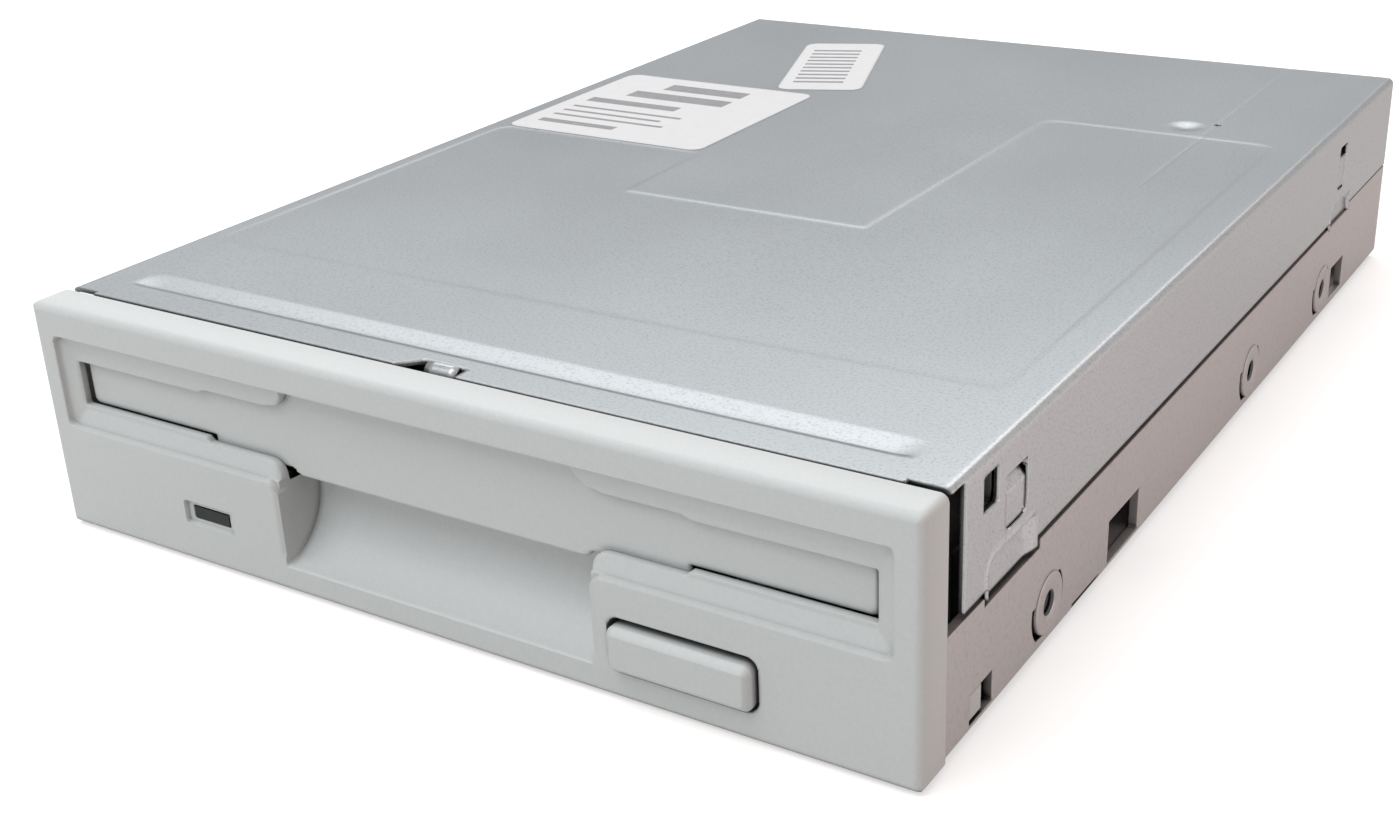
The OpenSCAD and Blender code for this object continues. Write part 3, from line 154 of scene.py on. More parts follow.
def polygon_distance(u: Array, v: Array, points: Sequence[Pair]) -> Array:
    """Signed distance to a closed polygon, negative inside.

    The size is the least distance to a side, and the sign comes from counting the sides that a ray crosses.

    Args:
        u: First coordinates.
        v: Second coordinates.
        points: The corners in order.

    Returns:
        The distances.
    """
    a = np.asarray(points, float)
    b = np.roll(a, -1, 0)
    p = np.stack([u, v], -1)[..., None, :]
    side = b - a
    t = np.clip(((p - a) * side).sum(-1) / (side ** 2).sum(-1), 0, 1)
    least = np.linalg.norm(p - a - t[..., None] * side, axis=-1).min(-1)
    crosses = (a[:, 1] > p[..., 1]) != (b[:, 1] > p[..., 1])
    rise = np.where(side[:, 1] == 0, 1, side[:, 1])
    hit = p[..., 0] < a[:, 0] + (p[..., 1] - a[:, 1]) * side[:, 0] / rise
    inside = (crosses & hit).sum(-1) % 2 == 1
    return np.where(inside, -least, least)


def ease(t: Array) -> Array:
    """Smooth step 3t^2 - 2t^3 of t held between 0 and 1."""
    t = np.clip(t, 0, 1)
    return t * t * (3 - 2 * t)


def round_edge(d: Array, r: float) -> Array:
    """Drop of a rounded edge at a distance d from it: r - sqrt(r^2 - (r - d)^2) within r, and 0 beyond."""
    over = np.clip(r - d, 0, r)
    return r - np.sqrt(np.maximum(r * r - over ** 2, 0))


def round_corners(a: Array, b: Array, half: Pair, r: float) -> tuple[Array, Array]:
    """Carries a rectangle's square corners onto quarter discs.

    In a corner's square, with p and q from 0 to 1 outwards, the point goes to
    (p sqrt(1 - q^2 / 2), q sqrt(1 - p^2 / 2)).

    Args:
        a: First coordinates from the rectangle's middle.
        b: Second coordinates from its middle.
        half: Its half width and half height.
        r: Corner radius.

    Returns:
        The moved coordinates.
    """
    p = np.clip((np.abs(a) - half[0] + r) / r, 0, 1)
    q = np.clip((np.abs(b) - half[1] + r) / r, 0, 1)
    return (a + np.sign(a) * r * (p * np.sqrt(1 - q * q / 2) - p),
            b + np.sign(b) * r * (q * np.sqrt(1 - p * p / 2) - q))


def cell_means(values: Array) -> Array:
    """Mean of each grid cell's four corners."""
    return (values[:-1, :-1] + values[1:, :-1] + values[:-1, 1:] + values[1:, 1:]) / 4


def trim(u: Array, v: Array, shape: Shape) -> tuple[Array, Array, Array]:
    """Cuts a grid along a shape's outline.

    A cell stays where the distance d at its middle is positive. The points between cells that stay and cells
    that go are carried onto the outline by Newton steps p - d grad d / |grad d|^2.

    Args:
        u: First coordinates of the grid.
        v: Second coordinates of the grid.
        shape: Signed distance of what is cut away, negative inside it.

    Returns:
        The moved coordinates, and which cells stay.
    """
    keep = shape(cell_means(u), cell_means(v)) > 0
    stays, goes = np.zeros(u.shape, bool), np.zeros(u.shape, bool)
    first, last = slice(None, -1), slice(1, None)
    for corner in ((first, first), (last, first), (first, last), (last, last)):
        stays[corner] |= keep
        goes[corner] |= ~keep
    cut, e = stays & goes, 0.001
    u_limits, v_limits = (u.min(), u.max()), (v.min(), v.max())
    for _ in range(4):
        d = shape(u, v)
        slope_u = (shape(u + e, v) - shape(u - e, v)) / (2 * e)
        slope_v = (shape(u, v + e) - shape(u, v - e)) / (2 * e)
        move = cut * d / np.maximum(slope_u ** 2 + slope_v ** 2, 0.25)
        u, v = np.clip(u - move * slope_u, *u_limits), np.clip(v - move * slope_v, *v_limits)
    return u, v, keep


@dataclass
class Patch:
    """Points and four-sided faces of one sheet."""

    points: Array
    quads: Array

    @classmethod
    def grid(cls, points: Array, keep: Array | None = None, flip: bool = False,
             close_columns: bool = False) -> "Patch":
        """A sheet from a grid of points.

        Args:
            points: Rows by columns by three.
            keep: Which cells stay, or None for all.
            flip: Turns the faces the other way.
            close_columns: Joins the last column to the first.

        Returns:
            The patch.
        """
        if close_columns:
            points = np.concatenate([points, points[:, :1]], 1)
        rows, columns = points.shape[:2]
        at = np.arange(rows * columns).reshape(rows, columns)
        quads = np.stack([at[:-1, :-1], at[:-1, 1:], at[1:, 1:], at[1:, :-1]], -1)
        quads = quads.reshape(-1, 4) if keep is None else quads[keep]
        return cls(points.reshape(-1, 3), quads[:, ::-1] if flip else quads)

    @classmethod
    def walls(cls, front: Array, back: Array, keep: Array) -> "Patch":
        """Walls round a grid's openings, from each edge between a cell that stays and one that goes.

        Args:
            front: Rows by columns by three.
            back: Where each of those points goes.
            keep: Which cells stay.

        Returns:
            The patch.
        """
        rows, columns = front.shape[:2]
        at = np.arange(rows * columns).reshape(rows, columns)
        corners = at[:-1, :-1], at[:-1, 1:], at[1:, 1:], at[1:, :-1]
        padded = np.pad(keep, 1, constant_values=True)
        beside = padded[:-2, 1:-1], padded[1:-1, 2:], padded[2:, 1:-1], padded[1:-1, :-2]
        edges = np.concatenate([np.stack([corners[k], corners[(k + 1) % 4]], -1)[keep & ~beside[k]]
                                for k in range(4)])
        quads = np.stack([edges[:, 1], edges[:, 0], edges[:, 0] + at.size, edges[:, 1] + at.size], -1)
        return cls(np.concatenate([front.reshape(-1, 3), back.reshape(-1, 3)]), quads)


def loop_outline(w: float, h: float, r: float, steps: int = 8) -> Array:
    """Points of a rectangle with rounded corners, each its centre + r (cos a, sin a) over a quarter turn.

    Args:
        w: Width.
        h: Height.
        r: Corner radius.
        steps: Points to a corner.

    Returns:
        The points in order, across and up.
    """
    a = np.linspace(0, QUARTER, steps)[None] + np.arange(4)[:, None] * QUARTER
    cx = np.array([1, -1, -1, 1])[:, None] * (w / 2 - r)
    cz = np.array([1, 1, -1, -1])[:, None] * (h / 2 - r)
    return np.stack([cx + r * np.cos(a), cz + r * np.sin(a)], -1).reshape(-1, 2)


def block_along_y(centre: Pair, size: Pair, y: Pair, corner: float, front: float, back: float,
                  power: float = 2.0) -> Patch:
    """A block whose rounded outline is carried along y, with broken front and back edges.

    Station k insets the outline by f (1 - sin^q a) while y runs over f (1 - cos^q a), for the edge's
    size f and q = 2 / power, and the ends close on the outline's middle. A power of 2 is a round, 1 a slant.

    Args:
        centre: Middle of the outline, across and up.
        size: Width and height of the outline.
        y: Front and back.
        corner: Corner radius of the outline.
        front: Edge radius at the front.
        back: Edge radius at the back.
        power: Fullness of the broken edges.

    Returns:
        The closed patch.
    """
    a = np.linspace(0, QUARTER, 7)
    rise, run = 1 - np.sin(a) ** (2 / power), 1 - np.clip(np.cos(a), 0, 1) ** (2 / power)
    ledge, least_r = 0.05, 0.0004
    full = min(size) / 2 - 0.0005
    inset = np.concatenate([[full, front + ledge], front * rise, back * rise[::-1], [back + ledge, full]])
    place = np.concatenate([[y[0], y[0]], y[0] + front * run, y[1] - back * run[::-1], [y[1], y[1]]])
    w, h = size
    rings = np.stack([loop_outline(w - 2 * i, h - 2 * i, max(corner - i, least_r)) for i in inset])
    points = to_row(rings[..., 0] + centre[0], place[:, None], rings[..., 1] + centre[1])
    return Patch.grid(points, close_columns=True)


@dataclass
class Graph:
    """The shader nodes of a material or of the world."""

    tree: bpy.types.NodeTree

    def feed(self, node: bpy.types.Node, inputs: Inputs) -> None:
        """Links the sockets among the inputs to a node, and sets its other inputs to their values.

        Args:
            node: The node.
            inputs: Values or sockets by the input's name or number.
        """
        for name, value in inputs.items():
            if isinstance(value, Socket):
                self.tree.links.new(value, node.inputs[name])
            else:
                node.inputs[name].default_value = value

    def add(self, kind: str, output: str, inputs: Inputs | None = None, **settings: Any) -> Socket:
        """Adds a node.

        Args:
            kind: The node's type.
            output: Name of the output that is wanted.
            inputs: Values or sockets for feed.
            settings: The node's own settings.

        Returns:
            The wanted output.
        """
        node = self.tree.nodes.new("ShaderNode" + kind)
        for name, value in settings.items():
            setattr(node, name, value)
        self.feed(node, inputs or {})
        return node.outputs[output]

    def calculate(self, operation: str, *values: Socket | float) -> Socket:
        """Result of an operation on numbers."""
        return self.add("Math", "Value", dict(enumerate(values)), operation=operation)

    def multiply(self, first: Socket, second: Socket) -> Socket:
        """Product of two colours."""
        return self.add("Mix", "Result", {"Factor": 1.0, "A": first, "B": second}, data_type="RGBA",
                        blend_type="MULTIPLY")

    def blend(self, by: Socket, first: Triple, second: Triple) -> Socket:
        """Colour that runs from the first to the second while a value runs from 0 to 1."""
        return self.add("Mix", "Result", {"Factor": by, "A": (*first, 1.0), "B": (*second, 1.0)},
                        data_type="RGBA")

    def spread(self, value: Socket, span: Pair = (0.0, 1.0), low: float = 0.0,
               high: Socket | float = 1.0) -> Socket:
        """Number that runs from low to high while a value runs over a span."""
        return self.add("MapRange", "Result", {"Value": value, "From Min": span[0], "From Max": span[1],
                                               "To Min": low, "To Max": high})

    def noise(self, where: Socket, scale: float, detail: float, stretch: Triple = EVEN) -> Socket:
        """Noise with some cells per metre, octaves and scale along each axis."""
        place = self.add("Mapping", "Vector", {"Scale": stretch, "Vector": where})
        return self.add("TexNoise", "Fac", {"Scale": scale, "Detail": detail, "Vector": place})


class Grain(Enum):
    """What varies a finish over the surface."""

    SPECKLE = "fine spots of a zinc coat"
    MOULDED = "fine even grain of a moulded part"
    BRUSHED = "streaks along the part"
    TRACED = "tracks under a solder resist"


@dataclass(frozen=True)
class Finish:
    """One procedural material. All but the ink are named after their slots.

    Its colour runs between colour and second by the grain, of scale cells per metre. The grazing colour
    tints reflections at low angles. Painted shade from an occlusion node darkens places with less open
    space than nook_span within nook metres, down to its darkest factor. The side colour multiplies the
    colour of faces that look along x: painted light on the cover's and the chassis's sides, and painted
    shade on the bezel's sides.
    """

    name: str
    colour: Triple
    second: Triple
    roughness: float
    metallic: float = 0.0
    grain: Grain = Grain.MOULDED
    scale: float = 2500.0
    bump: float = 0.05
    specular: float = 0.5
    grazing: Triple = EVEN
    # Darkest factor of the painted shade in corners, seams and slits.
    painted_shade: float = 0.3
    nook: float = 0.0012
    nook_span: Pair = (0.25, 0.85)
    # Painted light and shade on faces that look along x.
    side: Triple = EVEN

    def build(self) -> bpy.types.Material:
        """Builds the material, with a slow change of tone and roughness over the part.

        Returns:
            The material.
        """
        material = bpy.data.materials.new(self.name)
        material.use_nodes = True
        graph = Graph(material.node_tree)
        where = graph.add("TexCoord", "Object")
        grain = self._grain(graph, where)
        cells, octaves, faded, change = 28.0, 3.0, (0.93, 0.93, 0.93), 0.06
        cloud = graph.noise(where, cells, octaves)
        colour = graph.multiply(graph.blend(grain, self.colour, self.second), graph.blend(cloud, faded, EVEN))
        # Painted light and shade: the side colour tints faces that look along x.
        facing = graph.add("SeparateXYZ", "X", {"Vector": graph.add("TexCoord", "Normal")})
        colour = graph.multiply(colour, graph.blend(graph.calculate("ABSOLUTE", facing), EVEN, self.side))
        # Painted shade: an occlusion node darkens corners, seams, slits and windows.
        nook = graph.add("AmbientOcclusion", "AO", {"Distance": self.nook}, samples=8)
        colour = graph.multiply(colour, graph.spread(nook, self.nook_span, self.painted_shade))
        low, high = max(self.roughness - change, 0.03), min(self.roughness + change, 1.0)
        bump = graph.add("Bump", "Normal", {"Strength": self.bump, "Distance": 0.0001, "Height": grain})
        graph.feed(material.node_tree.nodes["Principled BSDF"], {
            "Base Color": colour, "Metallic": self.metallic, "Specular IOR Level": self.specular,
            "Specular Tint": (*self.grazing, 1.0), "Roughness": graph.spread(cloud, low=low, high=high),
            "Normal": bump})
        return material

    def _grain(self, graph: Graph, where: Socket) -> Socket:
        """The finish's own grain.

        Args:
            graph: The material's nodes.
            where: The place on the surface.

        Returns:
            A value from 0 to 1.
        """
        if self.grain is Grain.TRACED:
            return self._tracks(graph, where)
        stretch = (1.0, 0.06, 1.0) if self.grain is Grain.BRUSHED else EVEN
        span = (0.5, 0.72) if self.grain is Grain.SPECKLE else (0.25, 0.75)
        return graph.spread(graph.noise(where, self.scale, 2.0, stretch), span)

    def _tracks(self, graph: Graph, where: Socket) -> Socket:
        """A board's tracks: square cells hold thin lines along x or along y, with round pads between them.

        Args:
            graph: The material's nodes.
            where: The place on the surface.

        Returns:
            A value that is 1 on a track or a pad.
        """
        cells = graph.add("TexVoronoi", "Color", {"Scale": 150.0, "Randomness": 0.7, "Vector": where},
                          distance="CHEBYCHEV")
        turned = graph.calculate("GREATER_THAN", graph.add("SeparateColor", "Red", {"Color": cells}), 0.5)
        waves = [graph.add("TexWave", "Fac", {"Scale": 300.0, "Vector": where}, bands_direction=axis)
                 for axis in ("X", "Y")]
        lines = graph.add("Mix", "Result", {"Factor": turned, "A": waves[0], "B": waves[1]})
        pads = graph.add("TexVoronoi", "Distance", {"Scale": 330.0, "Vector": where})
        return graph.calculate("MAXIMUM", graph.spread(lines, (0.68, 0.8)), graph.spread(pads, (0.2, 0.16)))


FINISHES: tuple[Finish, ...] = (
    # The side colours paint light on the cover's and the chassis's flanges and shade on the bezel's sides.
    Finish("zinc_steel", (0.42, 0.395, 0.385), (0.365, 0.34, 0.33), 0.42, 0.55, Grain.SPECKLE, 1900,
           bump=0.04, grazing=(0.5, 0.47, 0.46), painted_shade=0.02, nook=0.0009, nook_span=(0.5, 0.92),
           side=(1.08, 1.06, 1.06)),
    Finish("cover_steel", (0.315, 0.333, 0.342), (0.235, 0.25, 0.258), 0.34, 0.88, Grain.SPECKLE, 3600,
           grazing=(0.55, 0.55, 0.56), painted_shade=0.02, nook_span=(0.4, 0.9), side=(1.5, 1.38, 1.34)),
    Finish("bezel_plastic", (0.575, 0.602, 0.602), (0.545, 0.572, 0.572), 0.5, scale=2600, bump=0.09,
           painted_shade=0.12, side=(0.88, 0.84, 0.82)),
    Finish("paper", (0.7, 0.7, 0.712), (0.67, 0.67, 0.682), 0.75, scale=900, bump=0.02, specular=0.12),
    Finish("grey_ink", (0.15, 0.15, 0.16), (0.20, 0.20, 0.21), 0.5, scale=900, bump=0.02),
    Finish("smoked_lens", (0.02, 0.023, 0.024), (0.03, 0.034, 0.035), 0.3, scale=600, bump=0.01,
           specular=0.15),
    Finish("lamp_resin", (0.28, 0.45, 0.2), (0.34, 0.5, 0.25), 0.2, scale=500, bump=0.01),
    Finish("circuit_board", (0.025, 0.13, 0.065), (0.07, 0.24, 0.12), 0.4, 0.0, Grain.TRACED, bump=0.1),
    Finish("chip_plastic", (0.03, 0.03, 0.032), (0.05, 0.05, 0.052), 0.55),
    Finish("capacitor_sleeve", (0.05, 0.06, 0.1), (0.08, 0.09, 0.14), 0.3, bump=0.02),
    Finish("black_plastic", (0.022, 0.022, 0.024), (0.04, 0.04, 0.042), 0.5),
    Finish("white_plastic", (0.72, 0.70, 0.63), (0.66, 0.64, 0.57), 0.45),
    Finish("contact_gold", (0.76, 0.55, 0.22), (0.68, 0.47, 0.18), 0.25, 0.95, Grain.BRUSHED, 900),
    Finish("bright_steel", (0.66, 0.66, 0.67), (0.55, 0.55, 0.57), 0.25, 0.95, Grain.BRUSHED, 900),
    Finish("core_steel", (0.2, 0.2, 0.22), (0.13, 0.13, 0.14), 0.5, 0.8, Grain.BRUSHED, 1200),
    Finish("copper_winding", (0.5, 0.2, 0.07), (0.38, 0.14, 0.05), 0.35, 0.7, Grain.BRUSHED, 3000, bump=0.3),
    Finish("bearing_bronze", (0.45, 0.32, 0.14), (0.36, 0.25, 0.11), 0.4, 0.8, scale=1800),
    Finish("magnet_ferrite", (0.05, 0.05, 0.055), (0.075, 0.075, 0.08), 0.6, scale=1500),
    Finish("ribbon_film", (0.45, 0.24, 0.07), (0.38, 0.19, 0.05), 0.3, 0.0, Grain.BRUSHED, 700),
    Finish("ceramic", (0.2, 0.17, 0.15), (0.25, 0.21, 0.18), 0.15, scale=900, bump=0.01),
    Finish("dark_steel", (0.06, 0.06, 0.068), (0.09, 0.09, 0.1), 0.4, 0.6, Grain.BRUSHED, 900),
)


class Wardrobe:
    """Holds the built materials and dresses pieces with them."""

    def __init__(self) -> None:
        """Builds every finish once."""
        self.materials = {finish.name: finish.build() for finish in FINISHES}

    def dress(self, piece: bpy.types.Object, slot: str) -> None:
        """Gives a piece the material of a slot."""
        piece.data.materials.clear()
        piece.data.materials.append(self.materials[slot])


class Part:
    """A piece of the outside, made of sheets, in place of some solids.

    It rides on a body and has the finish of a slot. Edges that turn by more than sharp degrees stay sharp,
    and a sheet that isn't closed gets a thickness behind its face.
    """

    name: str
    slot: str
    nodes: tuple[str, ...]
    body: str = "chassis"
    sharp: float = 50.0
    sheet: float = 0.0

    def patches(self) -> list[Patch]:
        """The piece's sheets."""
        raise NotImplementedError

    def mesh(self) -> bpy.types.Mesh:
        """Joins the sheets and closes their seams.

        Returns:
            The mesh.
        """
        patches = self.patches()
        starts = np.cumsum([0] + [len(p.points) for p in patches[:-1]])
        points = np.concatenate([p.points for p in patches])
        quads = np.concatenate([p.quads + s for p, s in zip(patches, starts)])
        used, quads = np.unique(quads, return_inverse=True)
        mesh = bpy.data.meshes.new(self.name)
        mesh.from_pydata(points[used].tolist(), [], quads.reshape(-1, 4).tolist())
        work = bmesh.new()
        work.from_mesh(mesh)
        bmesh.ops.remove_doubles(work, verts=work.verts, dist=WELD)
        bmesh.ops.dissolve_degenerate(work, edges=work.edges, dist=WELD / 20)
        work.to_mesh(mesh)
        work.free()
        return mesh

    def build(self, wardrobe: Wardrobe) -> bpy.types.Object:
        """Adds the piece to the scene, smooth and dressed.

        Args:
            wardrobe: The materials.

        Returns:
            The piece.
        """
        mesh = self.mesh()
        mesh.polygons.foreach_set("use_smooth", np.ones(len(mesh.polygons), bool))
        mesh.set_sharp_from_angle(angle=math.radians(self.sharp))
        piece = bpy.data.objects.new(self.name, mesh)
        bpy.context.scene.collection.objects.link(piece)
        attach(piece, self.body)
        if self.nodes:
            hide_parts(*self.nodes)
        if self.sheet:
            wall = piece.modifiers.new("thickness", "SOLIDIFY")
            wall.thickness = self.sheet * MM
            wall.offset = -1
        wardrobe.dress(piece, self.slot)
        LOG.info("%s: %d faces", self.name, len(mesh.polygons))
        return piece


@dataclass
class Bezel(Part):
    """The moulded front: a sheet whose depth is a function of the place across and up.

    The hooks are the walls at the slot's ends and the clips that reach back into the chassis windows: middle
    across and up, size, front and back, and the radii of block_along_y.
    """

    name = "bezel_front"
    slot = "bezel_plastic"
    nodes = ("bezel",)
    sharp = 40.0
    half_w: float = 50.8
    height: float = 25.4
    thick: float = 4.6
    edge_r: float = 0.8
    corner_r: float = 0.8
    wall: float = 1.2
    hollow_y: float = 2.2
    recess_x: float = 48.2
    recess_z: Pair = (11.9, 22.1)
    recess_d: float = 1.1
    recess_r: float = 0.9
    rim_d: float = 0.6
    rim_w: float = 0.17
    slot_x: float = 46.3
    slot_z: Pair = (14.3, 19.2)
    slot_r: float = 0.25
    slot_d: float = 1.9
    step_x: float = 28.4
    step_up: float = 0.35
    step_down: float = 0.5
    lip_x: Pair = (17.0, 19.6)
    lip_round: float = 1.8
    lip_turn: Pair = (19.4, 22.1)
    scoop_x: float = 18.5
    scoop_z: float = 2.9
    scoop_top: float = 10.3
    scoop_end: float = 11.6
    scoop_d: float = 5.6
    cheek_r: float = 1.8
    cheek_w: float = 0.34
    soft_d: float = 0.5
    soft_w: float = 0.9
    soft_low: Pair = (0.2, 1.2)
    soft_up: float = 2.4
    button_x: Pair = (20.35, 35.65)
    button_z: Pair = (2.95, 8.35)
    button_r: float = 1.2
    lamp: Pair = (-28.9, 5.73)
    lamp_outer: Pair = (6.6, 2.5)
    lamp_inner: Pair = (5.0, 1.4)
    lamp_r: float = 0.3
    lamp_d: float = 0.45
    lamp_w: float = 0.16
    break_r: float = 0.12
    hooks: tuple[tuple[Pair, Pair, Pair, Triple], ...] = (
        ((47.7, 17.5), (0.8, 10.4), (1.6, 7.2), (0.2, 0.1, 0.1)),
        ((48.9, 2.75), (1.2, 2.5), (2.2, 12.6), (0.2, 0.1, 0.2)),
        ((49.85, 2.7), (1.2, 2.7), (9.5, 12.0), (0.25, 0.35, 0.1)))

    def slot_shape(self, x: Array, z: Array) -> Array:
        """Signed distance to the slot.

        It joins a long box, a middle part with slanted ends, the gap between the upper lips, whose ends are
        quarter rounds, and the scoop's mouth. The mouth meets the middle part by the smooth least value
        min(a, b) - k h^2 / 4 with h = max(1 - |a - b| / k, 0), which rounds the lower lips' ends.

        Args:
            x: Places across.
            z: Heights.

        Returns:
            The distances.
        """
        a = np.abs(x)
        long_box = box_distance(a, z, (-self.slot_x, self.slot_x), self.slot_z, self.slot_r)
        low, high = self.slot_z[0] - self.step_down, self.slot_z[1] + self.step_up
        half = [(self.step_x - 0.5, high), (self.step_x + 0.3, self.slot_z[1]),
                (self.step_x + 0.3, self.slot_z[0]), (self.step_x - 0.3, low)]
        middle = polygon_distance(x, z, [*half, *((-px, pz) for px, pz in half[::-1])])
        r = self.lip_x[1] - self.lip_x[0]
        past = r - np.hypot(np.maximum(self.lip_x[1] - a, 0), np.maximum(self.recess_z[1] - z, 0))
        gap = np.max([past, a - self.lip_x[1], z - self.recess_z[1], self.slot_z[0] - z], 0)
        mouth = box_distance(a, z, (-self.scoop_x, self.scoop_x), (self.scoop_end, self.slot_z[1]), 0.05)
        share = np.maximum(1 - np.abs(middle - mouth) / self.lip_round, 0)
        lower = np.minimum(middle, mouth) - self.lip_round * share ** 2 / 4
        return np.min([long_box, lower, gap], 0)

    def button_shape(self, x: Array, z: Array) -> Array:
        """Signed distance to the button's hole."""
        return box_distance(x, z, self.button_x, self.button_z, self.button_r)

    def lamp_shape(self, x: Array, z: Array, size: Pair, r: float = 0.0) -> Array:
        """Signed distance to a box of some size about the lamp's middle."""
        spans = [(middle - full / 2, middle + full / 2) for middle, full in zip(self.lamp, size)]
        return box_distance(x, z, *spans, r)

    def holes(self, x: Array, z: Array) -> Array:
        """Signed distance to all the openings together."""
        lamp = self.lamp_shape(x, z, self.lamp_inner)
        return np.min([self.slot_shape(x, z), self.button_shape(x, z), lamp], 0)

    def scoop(self, x: Array, z: Array) -> Array:
        """Depth of the thumb scoop: the arc y0 + sqrt(R^2 - (z - top)^2) between eased cheeks.

        Args:
            x: Places across.
            z: Heights.

        Returns:
            The depths.
        """
        r = (self.scoop_d ** 2 + (self.scoop_top - self.scoop_z) ** 2) / (2 * self.scoop_d)
        below = np.maximum(self.scoop_top - z, 0)
        arc = self.scoop_d - r + np.sqrt(np.maximum(r ** 2 - below ** 2, 0))
        cheek = ease((self.scoop_x + self.break_r - np.abs(x)) / self.cheek_w)
        return np.where(z < self.scoop_end + 0.4, np.maximum(arc, 0) * cheek, 0)

    def depth(self, x: Array, z: Array) -> Array:
        """Depth of the front's surface behind its face.

        It is the greatest of these: a round at the outline, the recess eased in over its rim, the scoop, the
        softened edge and the rounded face corners beside it, and the lamp's pocket. The openings' broken
        edges are added.

        Args:
            x: Places across.
            z: Heights.

        Returns:
            The depths.
        """
        to_edge = np.minimum(self.half_w - np.abs(x), np.minimum(z, self.height - z))
        recess = box_distance(x, z, (-self.recess_x, self.recess_x), self.recess_z)
        rim = box_distance(x, z, (-self.recess_x, self.recess_x), self.recess_z, self.recess_r)
        funnel = np.clip(-recess / (self.recess_x - self.slot_x), 0, 1)
        sunk = self.rim_d * ease(0.2 - rim / self.rim_w) + (self.recess_d - self.rim_d) * funnel
        under, beside = self.recess_z[0] - z, np.abs(x) - self.scoop_x
        start, length = self.soft_low
        soft = self.soft_d * ease(1 - beside / self.soft_w) * ease((z - self.scoop_z - start) / length)
        soft = np.where((beside > 0) & (under > -self.soft_up), soft ** 2, 0)
        r = self.cheek_r
        turn = r - np.hypot(np.maximum(r - under, 0), np.maximum(r - beside, 0))
        near = (under > -1) & (under < r + 0.4) & (beside > 0) & (beside < 4)
        corner = np.where(near, self.rim_d * ease(0.2 - turn / self.rim_w), 0)
        frame = self.lamp_shape(x, z, self.lamp_outer, self.lamp_r)
        lamp = self.lamp_d * ease(0.5 - frame / self.lamp_w)
        forms = [round_edge(to_edge, self.edge_r), sunk, self.scoop(x, z), sunk + soft, corner, lamp]
        return np.max(forms, 0) + round_edge(self.holes(x, z), self.break_r)

    def back(self, x: Array, z: Array, depth: Array) -> Array:
        """How far back the wall of an opening reaches.

        Args:
            x: Places across.
            z: Heights.
            depth: Depths of the front's surface there.

        Returns:
            The depths.
        """
        reach = np.where(self.button_shape(x, z) < 0.3, self.thick, self.slot_d)
        reach = np.where(self.lamp_shape(x, z, self.lamp_inner) < 0.3, self.lamp_d + 1.2, reach)
        return np.maximum(depth + 0.2, reach)

    def patches(self) -> list[Patch]:
        """Builds the front and the walls behind it.

        Returns:
            The sheets.
        """
        x, z = np.meshgrid(*self._lines())
        x, z, keep = trim(x, z, self.holes)
        depth, mid = self.depth(x, z), self.height / 2
        back = to_row(x, self.back(x, z, depth), z)
        across, up = round_corners(x, z - mid, (self.half_w, mid), self.corner_r)
        front = to_row(across, depth, mid + up)
        hooks = [block_along_y((side * middle, up), size, y, *edges) for side in SIDES
                 for (middle, up), size, y, edges in self.hooks]
        return [Patch.grid(front, keep), Patch.walls(front, back, keep), self._walls(front), *hooks]

    def _lines(self) -> tuple[Array, Array]:
        """Sets the grid lines close together where the front turns.

        Returns:
            The lines across and the lines up.
        """
        fine = 0.14
        lips = np.arange(self.lip_x[0] - 0.3, self.lip_x[1] + 0.2, 0.12)
        turns = [*np.arange(self.recess_z[0] - self.cheek_r - 0.3, self.slot_z[0], fine),
                 *np.arange(*self.lip_turn, fine)]
        hole = [m + k * d for m, k in zip(self.button_x, (1, -1)) for d in np.arange(0, 1.3, 0.12)]
        lamp_x, lamp_z = ([middle + half for half in both_sides([outer / 2, inner / 2])]
                          for middle, outer, inner in zip(self.lamp, self.lamp_outer, self.lamp_inner))
        x_marks = both_sides([self.recess_x, self.slot_x, self.step_x, self.scoop_x, *self.lip_x,
                              self.half_w - self.edge_r, *lips])
        z_marks = [self.edge_r, self.scoop_z, *self.button_z, *lamp_z, self.scoop_end, *turns, *self.recess_z,
                   *self.slot_z, self.slot_z[0] - self.step_down, self.slot_z[1] + self.step_up,
                   self.height - self.edge_r]
        return (graded_lines(-self.half_w, self.half_w, [*x_marks, *hole, *lamp_x], 0.09, 2.2),
                graded_lines(0, self.height, z_marks, 0.09, 0.9))

    def _walls(self, front: Array) -> Patch:
        """Carries the sheet's outline back along the outer walls and into the hollow.

        Args:
            front: The sheet's points.

        Returns:
            The walls.
        """
        loop = np.concatenate([front[0, :-1], front[:-1, -1], front[-1, :0:-1], front[:0:-1, 0]]) / MM
        back = self.thick
        inset = np.array([0, 0, 0.1, 0.3, self.wall, self.wall])[:, None]
        place = np.array([self.edge_r, back - 0.3, back - 0.1, back, back, self.hollow_y])
        mid = self.height / 2
        x = loop[None, :, 0] * (1 - inset / self.half_w)
        z = mid + (loop[None, :, 2] - mid) * (1 - inset / mid)
        return Patch.grid(to_row(x, place[:, None], z), flip=True, close_columns=True)


